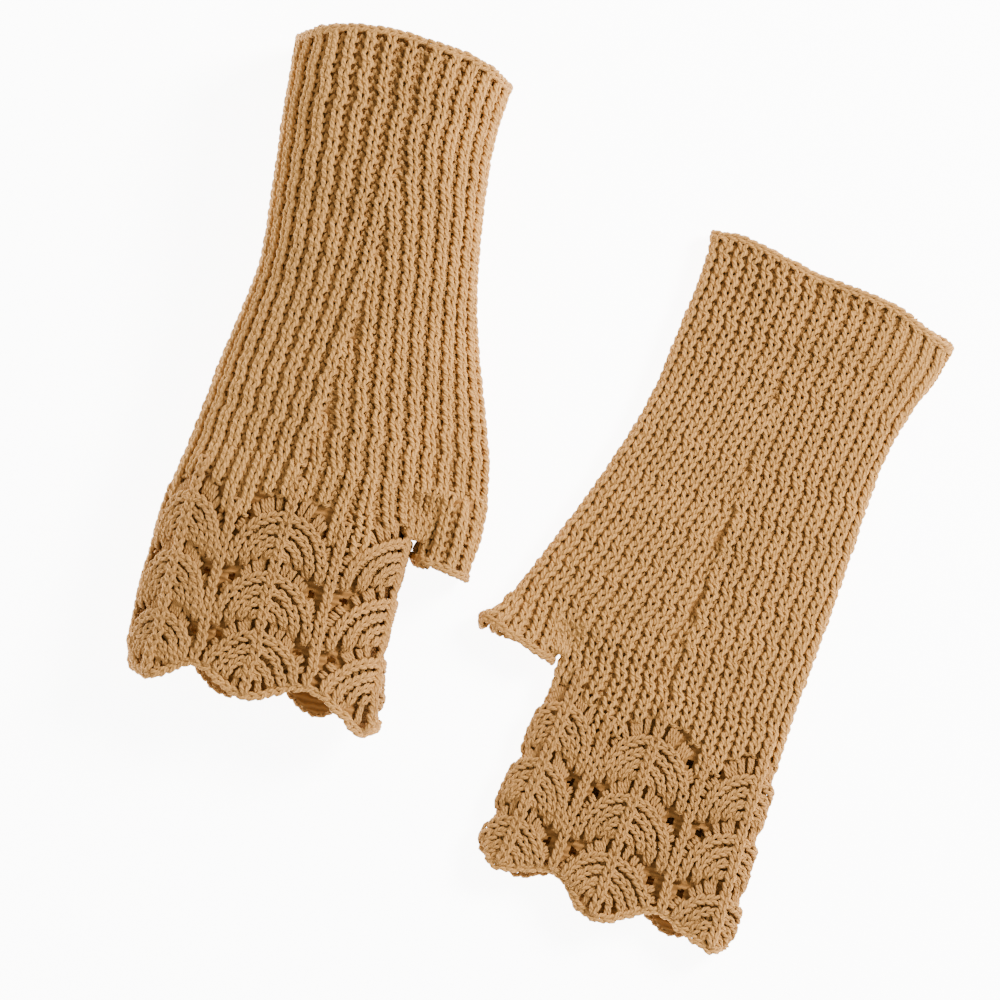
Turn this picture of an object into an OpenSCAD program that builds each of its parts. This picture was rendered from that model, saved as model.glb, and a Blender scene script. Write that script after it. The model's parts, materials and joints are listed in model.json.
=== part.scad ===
// A pair of hand-knitted fingerless gloves: ribbed cuff and hand, thumb gusset and a lace band of shells.
// The right glove keeps the round form of the hand that fills it, and the left glove lies flat and empty.
// Each glove is drawn with its back up, its cuff mouth at station 0, its fingers towards -Y and its thumb
// towards +X. The left glove is then mirrored and laid beside the right one.

/* [Fabric] */
// Thickness of the knitted wall
wall = 3.2; // [2.6:0.1:3.6]
// How far a rolled edge stands out of the wall
roll = 0.8; // [0.4:0.1:1.2]
// Length of a rolled edge along the glove
roll_length = 4; // [3:0.5:6]
// Clearance between two sections that move
joint_gap = 0.4; // [0.3:0.1:0.6]
// Clearance between the thumb and the side of the hand
thumb_gap = 1; // [0.8:0.1:2]
// Depth of the notches in the scalloped finger edge
notch = 9; // [5:1:11]

/* [Right glove, filled out] */
// Length from cuff mouth to the tips of the scallops
right_length = 203; // [190:1:240]
// Length of the ribbed cuff
right_cuff_length = 52; // [42:1:60]
// Length of the wrist section that bends
right_wrist_length = 22; // [18:1:28]
// Length of the knuckle section that bends
right_knuckle_length = 16; // [14:1:20]
// Length of the lace band with its scalloped edge
right_lace_length = 59; // [50:1:70]
// Length of the thumb from its root to the end of its hem
right_thumb_length = 22.5; // [19:0.5:28]
// Width of the cuff
right_cuff_width = 66; // [56:1:78]
// Width of the wrist
right_wrist_width = 65; // [56:1:74]
// Width of the hand beside the thumb
right_hand_width = 72; // [62:1:80]
// Width of the lace band at its edge
right_lace_width = 79; // [68:1:88]
// Width of the thumb at its root
right_thumb_width = 19.4; // [17:0.2:24]
// Width of the thumb at its hem
right_hem_width = 17.6; // [16:0.2:22]
// Height of the cuff
right_cuff_height = 48; // [40:1:56]
// Height of the wrist
right_wrist_height = 43; // [36:1:50]
// Height of the hand at the thumb's root
right_hand_height = 38; // [32:1:44]
// Height of the lace band
right_lace_height = 34; // [28:1:40]
// Height of the thumb
right_thumb_height = 25; // [20:1:28]

/* [Left glove, lying flat] */
// Length from cuff mouth to the tips of the scallops
left_length = 204; // [190:1:240]
// Length of the ribbed cuff
left_cuff_length = 49; // [40:1:58]
// Length of the wrist section that bends
left_wrist_length = 22; // [18:1:28]
// Length of the knuckle section that bends
left_knuckle_length = 18; // [14:1:22]
// Length of the lace band with its scalloped edge
left_lace_length = 62; // [52:1:74]
// Length of the thumb from its root to the middle of its hem
left_thumb_length = 12; // [10.5:0.5:15]
// Width of the cuff
left_cuff_width = 76; // [64:1:88]
// Width of the wrist
left_wrist_width = 73.5; // [62:0.5:84]
// Width of the hand beside the thumb
left_hand_width = 72.8; // [64:0.2:84]
// Width of the lace band at its edge
left_lace_width = 83; // [72:1:94]
// Width of the thumb at its root
left_thumb_width = 20.8; // [17:0.2:24]
// Width of the thumb at its hem
left_hem_width = 26.5; // [22:0.5:30]
// Height of the glove lying flat, both layers with the slack between them
left_height = 12.4; // [12:0.2:16]
// Height of the thumb lying flat
left_thumb_height = 11.8; // [11.4:0.2:14]
// Distance to the right of the right glove's cuff mouth
left_x = 143.8; // [140:0.2:180]
// Distance towards the fingers from the right glove's cuff mouth
left_y = 39.1; // [0:0.1:60]
// How far the glove is turned
left_turn = 8.3; // [0:0.5:12]

/* [Hidden] */
yarn = [0.72, 0.56, 0.38];
lace_yarn = [0.66, 0.50, 0.33];
edge_yarn = [0.78, 0.61, 0.42];
bulge = 2.4;            // exponent of a cross-section: 2 is an ellipse, more is squarer
right_sink = 3;         // how much of the filled glove's round underside is pressed flat
left_sink = 1;          // the same for the glove that lies flat
sides = 30;             // steps round a whole section
shells = 6;             // shells round the lace band, one scallop each
shell_turn = 93;        // angle of the middle shell on the back of the hand
gusset_angle = 18;      // half the angle that the thumb gusset spans where it starts
hem_slant_right = 1.5;  // how far the hem's outer end runs past its middle
hem_slant_left = -2.7;
cuff_flare = 2;         // how much wider the mouth is than the cuff
left_flare = 6;
right_mouth_crown = 2.5; // how far the mouth's back runs past its sides
left_mouth_crown = 2;
left_mouth_slant = -1.5; // how far the mouth's thumb end runs past its middle

// A row of a size table: station, middle, width, height, and what is left of the height at the thumb edge.
function row(at, middle, width, height, side = 1) = [at, middle - width / 2, middle + width / 2, height, side];

// The station where each section starts.
right_wrist_at = right_cuff_length;
right_hand_at = right_wrist_at + right_wrist_length;
right_lace_at = right_length - right_lace_length;
right_root = right_lace_at - right_knuckle_length;
left_wrist_at = left_cuff_length;
left_hand_at = left_wrist_at + left_wrist_length;
left_lace_at = left_length - left_lace_length;
left_root = left_lace_at - left_knuckle_length;

// Fingers: the tube beyond the thumb's root, which is the hand beside the thumb and the lace band.
right_fingers = [
    row(right_root, -0.9, right_hand_width, right_hand_height),
    row(right_lace_at, -2.4, right_hand_width + 2.8, (right_hand_height + right_lace_height) / 2),
    row(right_length - 25, -3.3, (right_hand_width + right_lace_width) / 2 + 1, right_lace_height),
    row(right_length - 11, -2.5, right_lace_width, right_lace_height),
    row(right_length, -1.6, right_lace_width - 1, right_lace_height - 1)];
left_fingers = [
    row(left_root, 1.8, left_hand_width, left_height),
    row(left_lace_at, 1.2, left_hand_width + 1.2, left_height),
    row(left_length - 25, 0.4, (left_hand_width + left_lace_width) / 2 + 2, left_height),
    row(left_length - 11, 0.3, left_lace_width, left_height),
    row(left_length, -0.4, left_lace_width - 1.5, left_height)];

// Thumb: a tube beside the fingers, a clearance away from them.
right_thumb_in = right_fingers[0][2] + thumb_gap;
left_thumb_in = left_fingers[0][2] + thumb_gap;
right_thumb_rows = [
    row(right_root, right_thumb_in + right_thumb_width / 2, right_thumb_width, right_thumb_height),
    row(right_root + 10, right_thumb_in + right_thumb_width / 2 + 0.2, right_thumb_width + 0.3, right_thumb_height),
    row(right_root + right_thumb_length, right_thumb_in + right_hem_width / 2, right_hem_width, right_thumb_height - 1)];
left_thumb_rows = [
    row(left_root, left_thumb_in + left_thumb_width / 2, left_thumb_width, left_thumb_height),
    row(left_root + left_thumb_length, left_thumb_in + left_hem_width / 2, left_hem_width, left_thumb_height)];

// Sleeve: the tube up to the thumb's root, which widens until it holds the fingers and the thumb.
right_span = right_thumb_rows[0][2] - right_fingers[0][1];
left_span = left_thumb_rows[0][2] - left_fingers[0][1];
right_split = (right_thumb_rows[0][2] + right_fingers[0][1]) / 2;
left_split = (left_thumb_rows[0][2] + left_fingers[0][1]) / 2;
right_growth = right_root - right_hand_at;
left_growth = left_root - left_hand_at;
right_sleeve = [
    row(0, 1, right_cuff_width + cuff_flare, right_cuff_height),
    row(0.4 * right_cuff_length, 0.4, right_cuff_width - 1, right_cuff_height),
    row(0.9 * right_cuff_length, 2.4, right_wrist_width, right_cuff_height - 2),
    row(right_hand_at, 5.5, right_wrist_width + 3, right_wrist_height, 0.92),
    row(right_hand_at + 0.4 * right_growth, 7, right_wrist_width + 0.5 * (right_span - right_wrist_width),
        (right_wrist_height + right_hand_height) / 2, 0.84),
    row(right_hand_at + 0.7 * right_growth, 8.8, right_wrist_width + 0.8 * (right_span - right_wrist_width),
        right_hand_height + 1, 0.76),
    row(right_root, right_split, right_span, right_hand_height, 0.7)];
left_sleeve = [
    row(0, 1.2, left_cuff_width + left_flare, left_height),
    row(0.33 * left_cuff_length, 1.5, left_cuff_width + 3, left_height),
    row(0.67 * left_cuff_length, 4, left_cuff_width - 1, left_height),
    row(left_cuff_length, 4.7, left_wrist_width, left_height),
    row(left_hand_at, 6, left_wrist_width + 4.5, left_height),
    row(left_hand_at + 0.45 * left_growth, 8.5, left_wrist_width + 0.55 * (left_span - left_wrist_width), left_height),
    row(left_root, left_split, left_span, left_height)];

// A size table read at any station, as a smooth curve through its rows.
function span_of(table, at, i = 0) =
    i >= len(table) - 2 || at < table[i + 1][0] ? i : span_of(table, at, i + 1);
function slope(table, i) =
    let (a = max(i - 1, 0), b = min(i + 1, len(table) - 1)) (table[b] - table[a]) / (table[b][0] - table[a][0]);
function size_at(table, at) =
    let (
        i = span_of(table, at),
        step = table[i + 1][0] - table[i][0],
        x = (at - table[i][0]) / step)
    table[i] * (2 * pow(x, 3) - 3 * pow(x, 2) + 1)
    + slope(table, i) * step * (pow(x, 3) - 2 * pow(x, 2) + x)
    + table[i + 1] * (3 * pow(x, 2) - 2 * pow(x, 3))
    + slope(table, i + 1) * step * (pow(x, 3) - pow(x, 2));

// A point of a section's outline: angle 0 is the thumb edge, 90 the back, and grow is measured outwards.
function squarer(x) = sign(x) * pow(abs(x), 2 / bulge);
function wave(angle) = -(1 - cos(shells * (angle - shell_turn))) / 2;
function outline_point(table, stop, angle, grow, sink) =
    let (
        size = size_at(table, stop[0]),
        across = squarer(cos(angle)),
        half_width = (size[2] - size[1]) / 2 + grow,
        half_height = (size[3] + sink) / 2,
        u = max(across, 0),
        thin = 1 - (1 - size[4]) * u * u * (3 - 2 * u),
        z = (size[3] - half_height) + (half_height + grow) * squarer(sin(angle)))
    [(size[1] + size[2]) / 2 + half_width * across,
     -(stop[0] + stop[3] * wave(angle) + stop[4] * across - stop[5] * max(sin(angle), 0)),
     max(z * thin, max(-grow, 0))];

// A stop along a wall: station, growth of the outside, growth of the inside, scallop depth, slant and crown.
function stop(at, out = 0, in = 0, scallop = 0, slant = 0, crown = 0) =
    [at, out, in - wall, scallop, slant, crown];
function stops(from, to, count) = [for (i = [0 : count]) stop(from + (to - from) * i / count)];

// The rolled edge between the wall's end and the open end, listed from the lower station to the higher.
function rolled(wall_end, open_end, scallop = 0, slant = 0, crown = 0) =
    let (
        reach = open_end - wall_end,
        list = [
            stop(wall_end, 0, 0, scallop, slant, crown),
            stop(wall_end + 0.3 * reach, roll, -roll / 2, scallop, slant, crown),
            stop(wall_end + 0.75 * reach, roll, -roll / 2, scallop, slant, crown),
            stop(open_end, -0.25 * wall, 0.25 * wall, scallop, slant, crown)])
    reach > 0 ? list : [for (i = [3 : -1 : 0]) list[i]];

// Where a half wall stops beside the gusset, at a thumb root.
function split_angle(sleeve, fingers) =
    let (size = sleeve[len(sleeve) - 1], middle = (size[1] + size[2]) / 2, half = (size[2] - size[1]) / 2)
    acos(pow((fingers[0][2] - middle) / half, bulge / 2));

// The points of a wall, and the wall itself. arcs holds its first and last angle at the first and last stop.
function wall_points(table, list, arcs, count, sink, face) = [
    for (i = [0 : len(list) - 1])
        let (x = i / (len(list) - 1), from = arcs[0] + (arcs[2] - arcs[0]) * x, to = arcs[1] + (arcs[3] - arcs[1]) * x)
            for (j = [0 : count])
                outline_point(table, list[i], from + (to - from) * j / count, list[i][face], sink)];

// A wall's description: table, stops, arcs, steps round and sink.
function wall_of(table, list, arcs, count, sink) = [table, list, arcs, count, sink];

module knit(w) {
    rows = len(w[1]);
    count = w[3];
    closed = w[2][1] - w[2][0] >= 360;
    ring = count + 1;
    base = rows * ring;
    last = closed ? count - 1 : count;
    function next(j) = closed ? (j + 1) % count : j + 1;
    points = concat(wall_points(w[0], w[1], w[2], count, w[4], 1), wall_points(w[0], w[1], w[2], count, w[4], 2));
    outside = [for (i = [0 : rows - 2]) for (j = [0 : count - 1])
        each [[i * ring + j, i * ring + next(j), (i + 1) * ring + next(j)],
              [i * ring + j, (i + 1) * ring + next(j), (i + 1) * ring + j]]];
    inside = [for (f = outside) [f[2] + base, f[1] + base, f[0] + base]];
    ends = [for (j = [0 : count - 1])
        each [[j, base + j, base + next(j)], [j, base + next(j), next(j)],
              [(rows - 1) * ring + j, (rows - 1) * ring + next(j), base + (rows - 1) * ring + next(j)],
              [(rows - 1) * ring + j, base + (rows - 1) * ring + next(j), base + (rows - 1) * ring + j]]];
    flanks = closed ? [] : [for (i = [0 : rows - 2])
        each [[i * ring, (i + 1) * ring, base + (i + 1) * ring],
              [i * ring, base + (i + 1) * ring, base + i * ring],
              [i * ring + last, base + i * ring + last, base + (i + 1) * ring + last],
              [i * ring + last, base + (i + 1) * ring + last, (i + 1) * ring + last]]];
    polyhedron(points, concat(outside, inside, ends, flanks), convexity = 6);
}

// The walls of one glove, in the order cast-on edge, cuff, wrist, back, palm, gusset, thumb, thumb hem,
// knuckles, lace back, lace palm, scallops back and scallops palm.
// starts holds the stations of the wrist, the hand and the lace band, and mouth the cuff's slant and crown.
function glove(sleeve, fingers, thumb, starts, sink, hem_slant, mouth) =
    let (
        cuff_end = starts[0],
        hand_at = starts[1],
        lace_at = starts[2],
        root = fingers[0][0],
        tip = fingers[len(fingers) - 1][0],
        hem = thumb[len(thumb) - 1][0],
        split = split_angle(sleeve, fingers),
        whole = [0, 360, 0, 360],
        back = [0, 180, 0, 180],
        palm = [180, 360, 180, 360],
        gap = joint_gap,
        edge = tip - roll_length,
        cuff_stops = concat([stop(roll_length, 0, 0, 0, mouth[0], mouth[1])], stops(cuff_end / 3, cuff_end, 3)),
        lace_stops = [
            stop(lace_at + gap),
            stop(lace_at + 0.35 * (edge - lace_at)),
            stop(lace_at + 0.65 * (edge - lace_at)),
            stop(edge, 0, 0, notch)],
        thumb_stops = [stop(root + gap), stop((root + hem) / 2), stop(hem - roll_length, 0, 0, 0, hem_slant)])
    [
        wall_of(sleeve, rolled(roll_length, 0, 0, mouth[0], mouth[1]), whole, sides, sink),
        wall_of(sleeve, cuff_stops, whole, sides, sink),
        wall_of(sleeve, stops(cuff_end + gap, hand_at - gap, 2), whole, sides, sink),
        wall_of(sleeve, stops(hand_at, root, 4), [gusset_angle, 180, split, 180], sides / 2 - 1, sink),
        wall_of(sleeve, stops(hand_at, root, 4), [180, 360 - gusset_angle, 180, 360 - split], sides / 2 - 1, sink),
        wall_of(sleeve, stops(hand_at, root, 4), [-gusset_angle, gusset_angle, -split, split], 8, sink),
        wall_of(thumb, thumb_stops, whole, 20, sink),
        wall_of(thumb, rolled(hem - roll_length, hem, 0, hem_slant), whole, 20, sink),
        wall_of(fingers, stops(root + gap, lace_at - gap, 2), whole, sides, sink),
        wall_of(fingers, lace_stops, back, 18, sink),
        wall_of(fingers, lace_stops, palm, 18, sink),
        wall_of(fingers, rolled(edge, tip, notch), back, 18, sink),
        wall_of(fingers, rolled(edge, tip, notch), palm, 18, sink)
    ];
right = glove(right_sleeve, right_fingers, right_thumb_rows, [right_wrist_at, right_hand_at, right_lace_at],
    right_sink, hem_slant_right, [0, right_mouth_crown]);
left = glove(left_sleeve, left_fingers, left_thumb_rows, [left_wrist_at, left_hand_at, left_lace_at],
    left_sink, hem_slant_left, [left_mouth_slant, left_mouth_crown]);

// The pair's origin: the middle of its box, on the surface that it lies on.
function outer_points(walls) = [for (w = walls) each wall_points(w[0], w[1], w[2], w[3], w[4], 1)];
function laid(p) = [left_x - p[0] * cos(left_turn) + p[1] * sin(left_turn),
                    -left_y + p[0] * sin(left_turn) + p[1] * cos(left_turn)];
pair = concat([for (p = outer_points(right)) [p[0], p[1]]], [for (p = outer_points(left)) laid(p)]);
xs = [for (p = pair) p[0]];
ys = [for (p = pair) p[1]];
origin = [(min(xs) + max(xs)) / 2, (min(ys) + max(ys)) / 2, 0];

module on_right() {
    translate(-origin)
        children();
}
module on_left() {
    translate([left_x, -left_y, 0] - origin)
        rotate([0, 0, -left_turn])
            mirror([1, 0, 0])
                children();
}

module right_cast_on_edge() { color(edge_yarn) on_right() knit(right[0]); }
module right_cuff() { color(yarn) on_right() knit(right[1]); }
module right_wrist() { color(yarn) on_right() knit(right[2]); }
module right_back() { color(yarn) on_right() knit(right[3]); }
module right_palm() { color(yarn) on_right() knit(right[4]); }
module right_thumb_gusset() { color(yarn) on_right() knit(right[5]); }
module right_thumb() { color(yarn) on_right() knit(right[6]); }
module right_thumb_hem() { color(edge_yarn) on_right() knit(right[7]); }
module right_knuckles() { color(yarn) on_right() knit(right[8]); }
module right_lace_back() { color(lace_yarn) on_right() knit(right[9]); }
module right_lace_palm() { color(lace_yarn) on_right() knit(right[10]); }
module right_scallops_back() { color(edge_yarn) on_right() knit(right[11]); }
module right_scallops_palm() { color(edge_yarn) on_right() knit(right[12]); }

module left_cast_on_edge() { color(edge_yarn) on_left() knit(left[0]); }
module left_cuff() { color(yarn) on_left() knit(left[1]); }
module left_wrist() { color(yarn) on_left() knit(left[2]); }
module left_back() { color(yarn) on_left() knit(left[3]); }
module left_palm() { color(yarn) on_left() knit(left[4]); }
module left_thumb_gusset() { color(yarn) on_left() knit(left[5]); }
module left_thumb() { color(yarn) on_left() knit(left[6]); }
module left_thumb_hem() { color(edge_yarn) on_left() knit(left[7]); }
module left_knuckles() { color(yarn) on_left() knit(left[8]); }
module left_lace_back() { color(lace_yarn) on_left() knit(left[9]); }
module left_lace_palm() { color(lace_yarn) on_left() knit(left[10]); }
module left_scallops_back() { color(edge_yarn) on_left() knit(left[11]); }
module left_scallops_palm() { color(edge_yarn) on_left() knit(left[12]); }

right_cast_on_edge();
right_cuff();
right_wrist();
right_back();
right_palm();
right_thumb_gusset();
right_thumb();
right_thumb_hem();
right_knuckles();
right_lace_back();
right_lace_palm();
right_scallops_back();
right_scallops_palm();
left_cast_on_edge();
left_cuff();
left_wrist();
left_back();
left_palm();
left_thumb_gusset();
left_thumb();
left_thumb_hem();
left_knuckles();
left_lace_back();
left_lace_palm();
left_scallops_back();
left_scallops_palm();
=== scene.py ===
# %% [markdown]
# # A pair of hand-knitted fingerless gloves
# Each glove is one ribbed tube with a gusset for the thumb and a band of lace shells over the fingers.
# A knitted thing is only yarn, so the yarn itself is modelled: every course runs round the hand as a thread
# that makes one loop per stitch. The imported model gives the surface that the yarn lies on, and its bodies.

# %% Load the frame
import json
import math
import bpy
import numpy as np
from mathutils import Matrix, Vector
from mathutils.bvhtree import BVHTree


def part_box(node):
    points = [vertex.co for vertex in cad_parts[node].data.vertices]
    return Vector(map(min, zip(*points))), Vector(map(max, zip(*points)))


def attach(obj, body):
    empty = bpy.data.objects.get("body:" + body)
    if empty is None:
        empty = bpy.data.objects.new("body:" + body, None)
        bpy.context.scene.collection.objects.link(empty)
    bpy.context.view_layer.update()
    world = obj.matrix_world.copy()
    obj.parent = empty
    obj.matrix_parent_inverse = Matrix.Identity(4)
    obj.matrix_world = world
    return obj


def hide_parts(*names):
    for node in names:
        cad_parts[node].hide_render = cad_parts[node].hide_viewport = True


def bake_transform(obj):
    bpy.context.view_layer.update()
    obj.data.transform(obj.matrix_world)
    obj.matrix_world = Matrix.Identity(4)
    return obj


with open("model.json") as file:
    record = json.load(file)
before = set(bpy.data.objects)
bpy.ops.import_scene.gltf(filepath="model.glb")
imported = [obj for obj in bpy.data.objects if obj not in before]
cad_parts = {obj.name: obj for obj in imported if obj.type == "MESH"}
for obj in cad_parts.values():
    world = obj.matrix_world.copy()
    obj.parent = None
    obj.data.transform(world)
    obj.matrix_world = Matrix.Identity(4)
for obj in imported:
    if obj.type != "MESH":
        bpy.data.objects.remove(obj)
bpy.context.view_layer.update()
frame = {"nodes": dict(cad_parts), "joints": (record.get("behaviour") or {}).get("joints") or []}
bpy.ops.object.select_all(action="DESELECT")

# %% [markdown]
# ## Coordinates on a glove
# The left glove lies turned beside the right one, so both are built in the same way in coordinates of their
# own, in millimetres: r runs across the hand towards the thumb, s runs along it from the mouth of the cuff
# to the fingers, and z is height above the table. The wrist's hinge and the thumb say which way they point.

# %% Where each glove lies
MM = 0.001
joints = {j["name"]: j for j in frame["joints"]}


def glove_axes(hand, hinge):
    """The glove's zero point and its two directions, from its wrist hinge, which is at (r, s) = hinge."""
    wrist = Vector(joints[hand + "_wrist_bend"]["pos_m"])
    knuckle = Vector(joints[hand + "_knuckle_bend"]["pos_m"])
    low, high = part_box(hand + "_thumb")
    across = Vector(joints[hand + "_wrist_bend"]["axis"]).normalized()
    if across.dot((low + high) / 2 - wrist) < 0:
        across = -across
    along = Vector((across.y, -across.x, 0))
    if along.dot(knuckle - wrist) < 0:
        along = -along
    zero = wrist - across * hinge[0] * MM - along * hinge[1] * MM
    return np.array((zero.x, zero.y, 0)), np.array(across), np.array(along)


def to_glove(glove, points):
    """Points of the frame, in metres, as (r, s, z) of a glove, in millimetres."""
    off = (points - glove["zero"]) / MM
    return np.stack([off @ glove["across"], off @ glove["along"], off[:, 2]], 1)


def turned(glove, ways):
    """Directions (r, s, z) of a glove as directions of the frame."""
    r, s, z = ways[..., 0:1], ways[..., 1:2], ways[..., 2:3]
    return r * glove["across"] + s * glove["along"] + z * np.array((0, 0, 1))


def to_frame(glove, points):
    """Points (r, s, z) of a glove, in millimetres, as points of the frame, in metres."""
    return glove["zero"] + MM * turned(glove, points)


# %% [markdown]
# ## The facts of each glove
# The right glove is stretched over a hand's form, so its ribs stand apart with deep furrows between them.
# The left glove is slack, so its ribs close up. The gusset line is where the ribs of the thumb's side are
# born: it crosses the back of the hand and ends in the spine of the middle shell. All are in millimetres:
#
# - hinge is the wrist's, as (r, s). wrist, root, lace, tip and hem are stations: the wrist's start and end,
#   where the thumb and the lace start, and where the fingers' part and the thumb end.
# - course and rib are the length of a course and the width of a rib.
# - mouth, crown, slant, drop and wave set the cuff's edge in, arch it, slope it, pull its corners down and
#   make it wavy. hem_slant slopes the thumb's hem.
# - crotch is where the thumb parts from the fingers, across the hand. web and sag are how far the web between
#   them reaches and how much it hangs. gather is how strongly the ribs are drawn towards it.
# - line is the gusset line, as (s, r).
# - stitch holds a knit loop's width, splay, height and lift, a purl loop's drop, and the yarn's radius.
# - apexes are the stations where the three rows of shells start. sides and spines are the borders and the
#   outer spines of the shells on the back, and puff is how far a shell swells.
# - notch and lobes are the scalloped edge's stations between the columns and in the middle of each column.
# - eyelet is the eyelets' radius along the hand.

# %% Facts of the two gloves
GLOVES = {
    "right": {
        "hinge": (1.2, 63), "wrist": (52, 74), "root": 128, "lace": 144, "tip": 203, "hem": 150.5,
        "course": 2.9, "rib": 5.85, "mouth": 2.8, "crown": 6.2, "slant": 0.4, "drop": 1.6, "wave": 0.15,
        "hem_slant": 1.5, "crotch": 36, "web": 142.8, "sag": 1.6, "gather": 1.0,
        "line": ((0, 6.7), (65, 6.7), (136, -1.5), (150, -3), (205, -3.2)),
        "stitch": {"wide": 3.5, "splay": 0.72, "tall": 2.4, "lift": 0.62, "drop": 0.62, "yarn": 0.76},
        "apexes": (145, 163.5, 181.5), "sides": (-19.5, 14.5), "spines": (-32.5, 33.5), "puff": 0.9,
        "notch": 194.3, "lobes": (200.8, 204.2, 201.5, 202, 202, 202), "eyelet": 1.1},
    "left": {
        "hinge": (4.5, 60), "wrist": (49, 71), "root": 124, "lace": 142, "tip": 204, "hem": 136,
        "course": 2.85, "rib": 4.6, "mouth": 0.9, "crown": 1.4, "slant": -3.4, "drop": 1.8, "wave": 0.8,
        "hem_slant": -2.7, "crotch": 39.2, "web": 134.5, "sag": 0.5, "gather": 0.35,
        "line": ((0, 6), (60, 6), (114, 5), (152, 1.8), (206, 1.4)),
        "stitch": {"wide": 3.45, "splay": 0.84, "tall": 2.25, "lift": 0.62, "drop": 0.50, "yarn": 0.74},
        "apexes": (149, 167.5, 186.5), "sides": (-15.5, 17.5), "spines": (-32.5, 31.5), "puff": 0.5,
        "notch": 197.4, "lobes": (205.8, 201.8, 202.2, 202, 203, 202), "eyelet": 1.3}}
for hand, glove in GLOVES.items():
    glove["zero"], glove["across"], glove["along"] = glove_axes(hand, glove["hinge"])
    print(hand, "glove starts at", glove["zero"].round(4), "and runs along", glove["along"].round(3))

# %% [markdown]
# ## The surface that the yarn lies on
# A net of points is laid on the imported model's outside: at every two millimetres along a tube, rays are sent
# in towards its middle from all round. Where the model has a gap or a notch, the net is carried on from its
# neighbours, so the yarn may cross from one section to the next as the real yarn does. The rings are then
# measured by their length, because stitches are spaced evenly along a course.

# %% Rays sent in at a tube
STATION = 2.0      # mm between the rings of the net
RAYS = 180         # rays to a ring
RING = 192         # points of the net in a ring
SCAN_HEIGHT = 6.0  # mm above the table, where each tube is near its widest
FAR_SIDE = 90      # mm, wider than any tube
FAR_ABOVE = 80     # mm, higher than any tube


def search_tree(glove, names):
    """The sections' outside and inside faces together, in the glove's coordinates."""
    points, faces = [], []
    for name in names:
        mesh = frame["nodes"][name].data
        co = np.zeros(len(mesh.vertices) * 3)
        mesh.vertices.foreach_get("co", co)
        start = sum(len(p) for p in points)
        points.append(to_glove(glove, co.reshape(-1, 3)))
        faces += [[start + v for v in p.vertices] for p in mesh.polygons]
    return BVHTree.FromPolygons([Vector(p) for p in np.concatenate(points)], faces)


def first_hit(tree, start, towards):
    """Where a ray from start towards a point first meets the tree, or None."""
    way = towards - start
    return tree.ray_cast(start, way.normalized(), way.length)[0]


def hold(values):
    """Fills the gaps of a column of numbers from the known ones on either side."""
    known = np.flatnonzero(~np.isnan(values))
    return np.interp(np.arange(len(values)), known, values[known])


def cross_sections(tree, stations):
    """Middle and half size of the tube at each station: r, z, half width and half height."""
    found = np.full((len(stations), 4), np.nan)
    for i, s in enumerate(stations):
        left, right = (first_hit(tree, Vector((x, s, SCAN_HEIGHT)), Vector((-x, s, SCAN_HEIGHT)))
                       for x in (-FAR_SIDE, FAR_SIDE))
        if left is None or right is None:
            continue
        middle = (left.x + right.x) / 2
        top = first_hit(tree, Vector((middle, s, FAR_ABOVE)), Vector((middle, s, -10)))
        if top is not None:
            found[i] = middle, top.z / 2, (right.x - left.x) / 2, top.z / 2
    found[found[:, 2] < 0.8 * np.nanmedian(found[:, 2])] = np.nan
    return np.stack([hold(c) for c in found.T], 1)


def ray_rings(tree, stations, sections):
    """How far the outside is from the middle, by station and by angle, smoothed over the model's facets."""
    turn = np.arange(RAYS) * 2 * math.pi / RAYS
    reach = np.full((len(stations), RAYS), np.nan)
    for i, s in enumerate(stations):
        r, z, wide, tall = sections[i]
        middle = Vector((r, s, z))
        for j, t in enumerate(turn):
            way = Vector((math.cos(t) * wide, 0, math.sin(t) * tall))
            hit = first_hit(tree, middle + way * 1.6, middle)
            if hit is not None:
                reach[i, j] = (hit - middle).length / way.length
    reach = np.stack([hold(c) for c in reach.T], 1)
    for _ in range(2):
        reach = sum(np.roll(reach, k, 1) for k in (-2, -1, 0, 1, 2)) / 5
    padded = np.pad(reach, ((1, 1), (0, 0)), "edge")
    reach = (padded[:-2] + 2 * padded[1:-1] + padded[2:]) / 4
    r, z, wide, tall = (sections[:, k:k + 1] for k in range(4))
    across = r + np.cos(turn) * wide * reach
    height = np.maximum(z + np.sin(turn) * tall * reach, 0)
    return np.stack([across, height], 2)


# %% Even rings
def unit(ways):
    """Directions with a length of one."""
    return ways / np.maximum(np.linalg.norm(ways, axis=-1, keepdims=True), 1e-12)


def even_ring(ring, from_r):
    """One ring of (r, z) spaced evenly by length: it starts on the back at from_r and goes to the thumb."""
    top = ring[1:RAYS // 2]
    start = 1 + int(np.argmin(abs(top[:, 0] - from_r)))
    loop = np.roll(np.roll(ring, -start, 0)[::-1], 1, 0)
    loop = np.concatenate([loop, loop[:1]])
    length = np.concatenate([[0], np.cumsum(np.linalg.norm(np.diff(loop, axis=0), axis=1))])
    edge = length[int(np.argmax(loop[:, 0]))]
    under = np.flatnonzero((length > edge) & (loop[:, 0] < from_r))[0]
    steps = np.linspace(0, length[-1], RING + 1)[:-1]
    even = np.stack([np.interp(steps, length, loop[:, k]) for k in (0, 1)], 1)
    return even, length[-1], edge, length[under] - edge


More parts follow.
